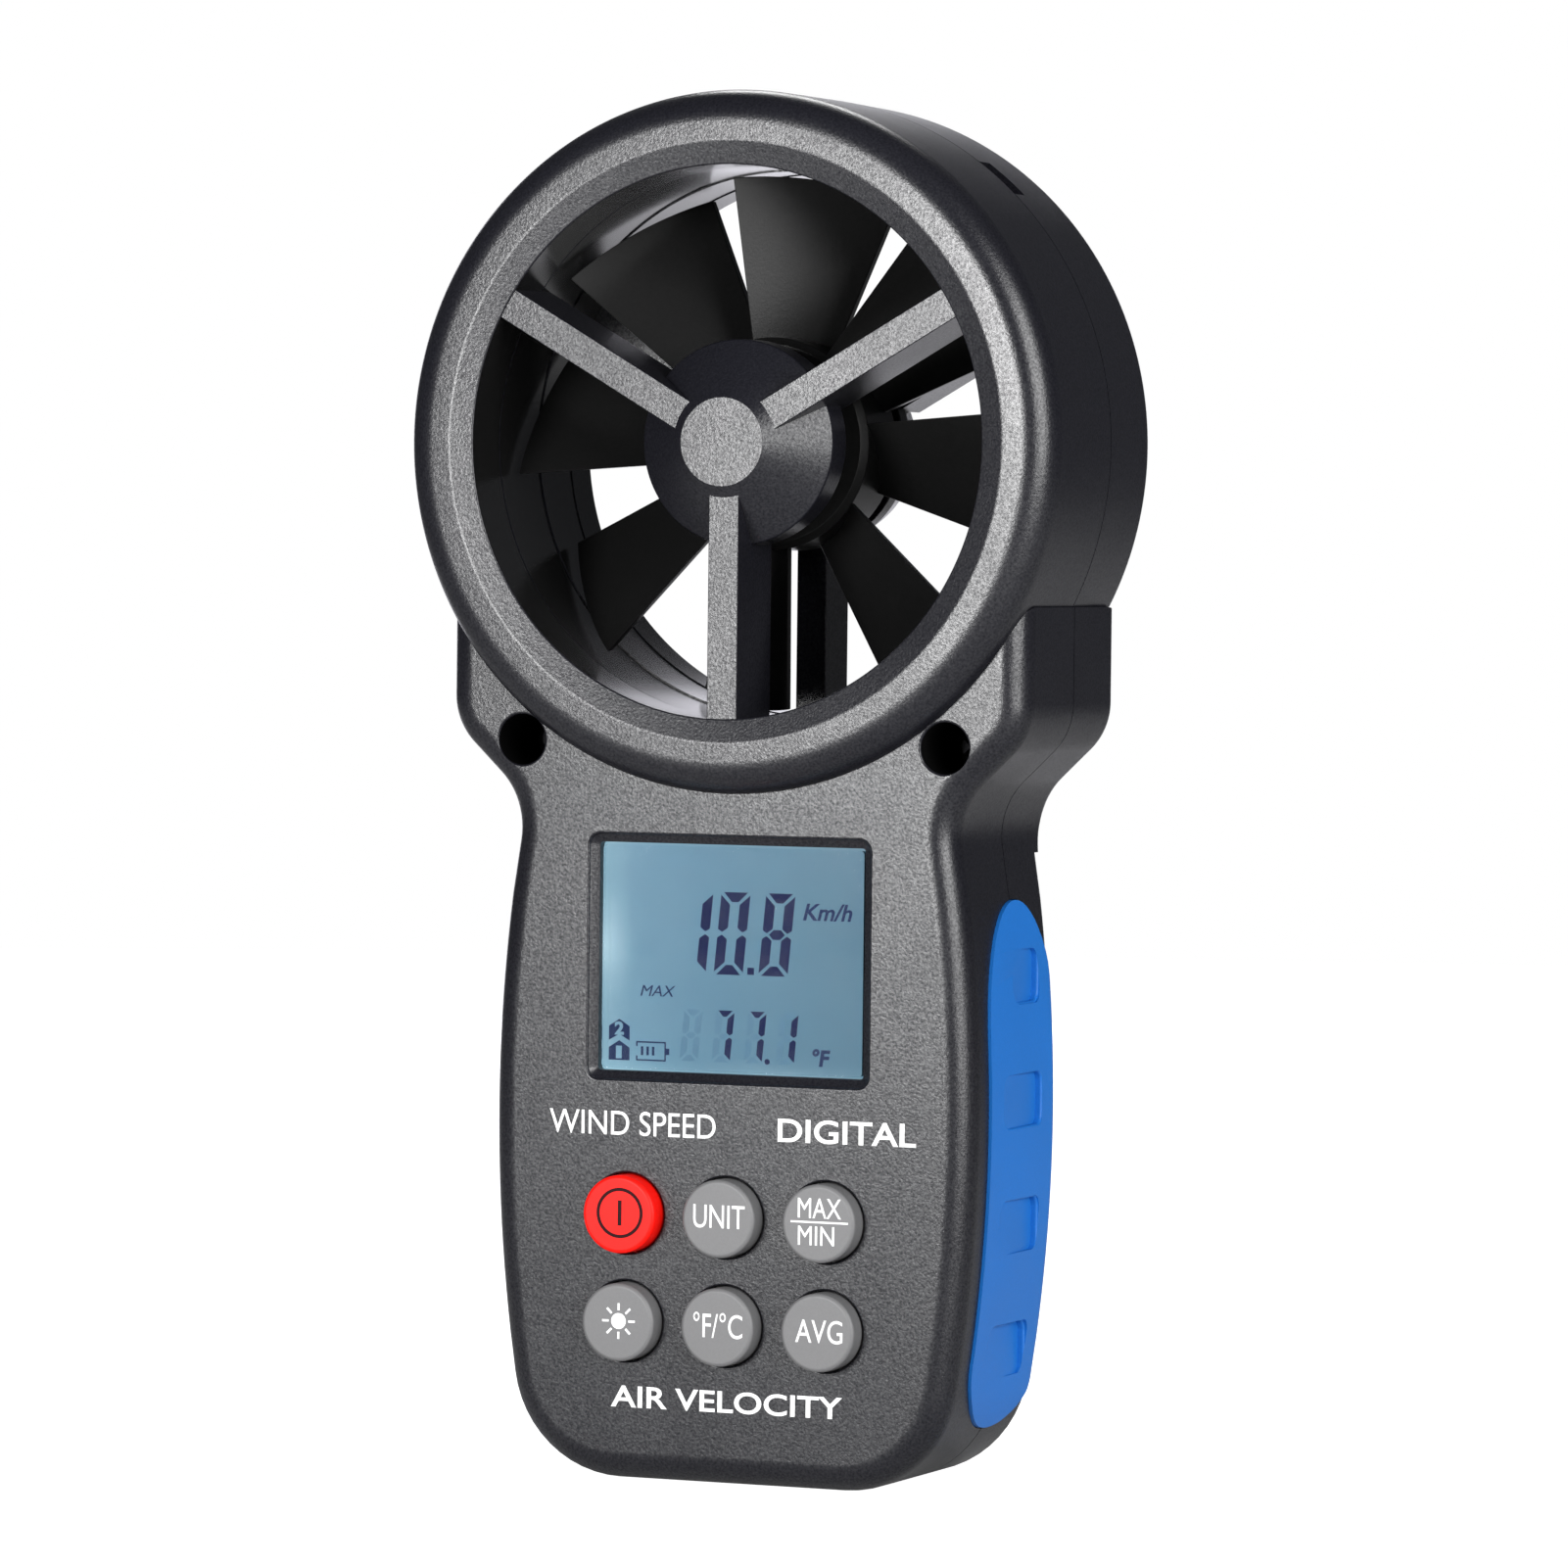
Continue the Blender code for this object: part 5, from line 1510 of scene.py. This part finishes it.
def door():
    """The battery door with its finger grooves, screw well and two hinge tabs."""
    outline = rounded_box(2 * DOOR_HALF_WIDTH, DOOR_TOP - DOOR_BOTTOM, 2.2, z=DOOR_MIDDLE, steps=10)
    made = rounded_prism("door_panel", outline, HANDLE_BACK - DOOR_THICKNESS, HANDLE_BACK, 0, 0.25)
    half_tab = 2.6
    tabs = []
    for side, label in SIDES:
        low = (side * TAB_X - half_tab, HANDLE_BACK - 3.3, DOOR_TOP - 2.4)
        high = (side * TAB_X + half_tab, HANDLE_BACK - DOOR_THICKNESS + 0.3, DOOR_TOP + TAB_HEIGHT)
        tabs.append(block(f"{label}_door_tab", low, high))
    join(made, *tabs)
    cutters = [screw_seat("door_well", 0, DOOR_SCREW_Z, HANDLE_BACK, HANDLE_BACK - 0.8, HANDLE_BACK - 3, 0.2)]
    for number in range(5):
        groove = rounded_box(14, 1.1, 0.5, z=DOOR_BOTTOM + 11.55 + 2.4 * number)
        cutters.append(pit(f"door_groove_{number}", groove, HANDLE_BACK, HANDLE_BACK - 0.5, 0.15))
    cut(made, *cutters)
    finish_piece(shaded(made), "case", "battery_lid", "case_plastic", "battery_door")


def dress_cad_nodes():
    """Gives the inner pieces that keep their CAD shape their looks."""
    dressed = {
        "steel": ["rotor_shaft", "rotor_magnet"] + [f"board_screw_{number}" for number in range(1, 5)],
        "brass": ["front_bearing", "rear_bearing"],
        "board": ["pickup_board", "main_board"],
        "black_plastic": ["pickup_sensor", "processor"] + [f"{key}_switch" for key in KEYS],
        "black_rubber": ["pickup_cable", "lcd_contact_strip", "battery_snap", "black_battery_lead"],
        "red_insulation": ["red_battery_lead"],
        "diffuser": ["lcd_backlight"],
        "panel": ["lcd_glass"],
    }
    for look, names in dressed.items():
        for name in names:
            for slot in frame["nodes"][name].material_slots:
                slot.material = LOOKS[look].material


# --------------------------------------------------------------------- studio


def floor():
    """A pale round floor that looks as white as the backdrop, and lights the object only a little."""
    mesh_data = bmesh.new()
    bmesh.ops.create_circle(mesh_data, cap_ends=True, segments=128, radius=1200)
    plane = add_object("studio_floor", mesh_data)
    plane.location.z = -0.00005
    look = Look("floor_look")
    seen_by_camera = look.add("ShaderNodeLightPath", {}).outputs["Is Camera Ray"]
    look.set(Base_Color=look.tones(look.noise(300.0), grey(0.6), grey(0.64)), Roughness=0.9)
    look.set(Specular_IOR_Level=0.1, Emission_Color=WHITE, Emission_Strength=seen_by_camera)
    plane.data.materials.append(look.material)


def softbox(name, place, aim, size, power, colour=(1.0, 1.0, 1.0)):
    """A rectangular area light at a place, in metres, that shines at aim and that the camera doesn't see."""
    data = bpy.data.lights.new(name, "AREA")
    data.shape = "RECTANGLE"
    data.size, data.size_y = size
    data.energy = power
    data.color = colour
    light = bpy.data.objects.new(name, data)
    light.location = place
    light.rotation_euler = (Vector(aim) - Vector(place)).to_track_quat("-Z", "Y").to_euler()
    light.visible_camera = False
    bpy.context.scene.collection.objects.link(light)


def around(azimuth, elevation, distance, centre=(0.0, 0.0, 0.1)):
    """A point in metres. Azimuth 0 is in front of the display, and it grows towards +X."""
    azimuth, elevation = math.radians(azimuth), math.radians(elevation)
    flat = distance * math.cos(elevation)
    offset = Vector((flat * math.sin(azimuth), -flat * math.cos(azimuth), distance * math.sin(elevation)))
    return Vector(centre) + offset


def lights():
    """A small key light near the camera, broad dim lights round the back, and a strong one on the right."""
    handle = (0.0, 0.0, 0.1)
    ring = (0.0, 0.0, RING_Z * MM)
    wall = (0.0, 0.0, 0.195)
    high = (0.0, 0.0, 0.34)
    cool = (0.93, 0.92, 1.0)
    softbox("key_light", around(-12.5, 5.5, 0.6), handle, (0.16, 0.16), 3.3)
    softbox("neck_light", around(-25, -2.4, 0.64), handle, (0.12, 0.02), 0.24)
    softbox("right_light", around(58, 0, 0.8, high), high, (0.5, 0.62), 8.5)
    softbox("top_light", around(200, 42, 0.8, ring), ring, (0.3, 0.12), 1.7)
    softbox("wall_light", around(207, 0, 0.9, wall), wall, (0.62, 0.38), 1.25, cool)
    softbox("floor_light", (-0.3, 0.6, 0.002), (-0.3, 0.6, 1.0), (0.6, 0.7), 1.0, cool)


def world():
    """White behind the object, and dim everywhere else."""
    made = bpy.data.worlds.new("studio")
    made.use_nodes = True
    nodes = made.node_tree.nodes
    links = made.node_tree.links
    nodes.clear()
    path = nodes.new("ShaderNodeLightPath")
    seen = nodes.new("ShaderNodeBackground")
    seen.inputs["Strength"].default_value = 1.0
    seen.inputs["Color"].default_value = WHITE
    dim = nodes.new("ShaderNodeBackground")
    dim.inputs["Strength"].default_value = 0.07
    dim.inputs["Color"].default_value = (0.9, 0.92, 1.0, 1.0)
    mix = nodes.new("ShaderNodeMixShader")
    out = nodes.new("ShaderNodeOutputWorld")
    links.new(path.outputs["Is Camera Ray"], mix.inputs["Fac"])
    links.new(dim.outputs["Background"], mix.inputs[1])
    links.new(seen.outputs["Background"], mix.inputs[2])
    links.new(mix.outputs["Shader"], out.inputs["Surface"])
    bpy.context.scene.world = made


def camera():
    """The camera stands to the right of the display's front, a little above the object's middle."""
    data = bpy.data.cameras.new("camera")
    data.lens = 179.9
    data.sensor_width = 36.0
    data.clip_end = 20.0
    obj = bpy.data.objects.new("camera", data)
    place = (0.3682, -0.8620, 0.1113)
    yaw, pitch, roll = (math.radians(angle) for angle in (23.07, 1.737, 0.646))
    level = Matrix.Rotation(yaw, 4, "Z") @ Matrix.Rotation(math.pi / 2 - pitch, 4, "X")
    obj.matrix_world = Matrix.Translation(place) @ level @ Matrix.Rotation(roll, 4, "Z")
    bpy.context.scene.collection.objects.link(obj)
    bpy.context.scene.camera = obj
    bpy.context.scene.view_settings.view_transform = "Standard"


camera()
world()
lights()
floor()
front_shell()
rear_shell()
thermistor()
impeller()
grips()
keys()
face_printing()
lens()
display_figures()
screws()
tripod_insert()
battery_block()
door()
dress_cad_nodes()

bpy.context.view_layer.update()
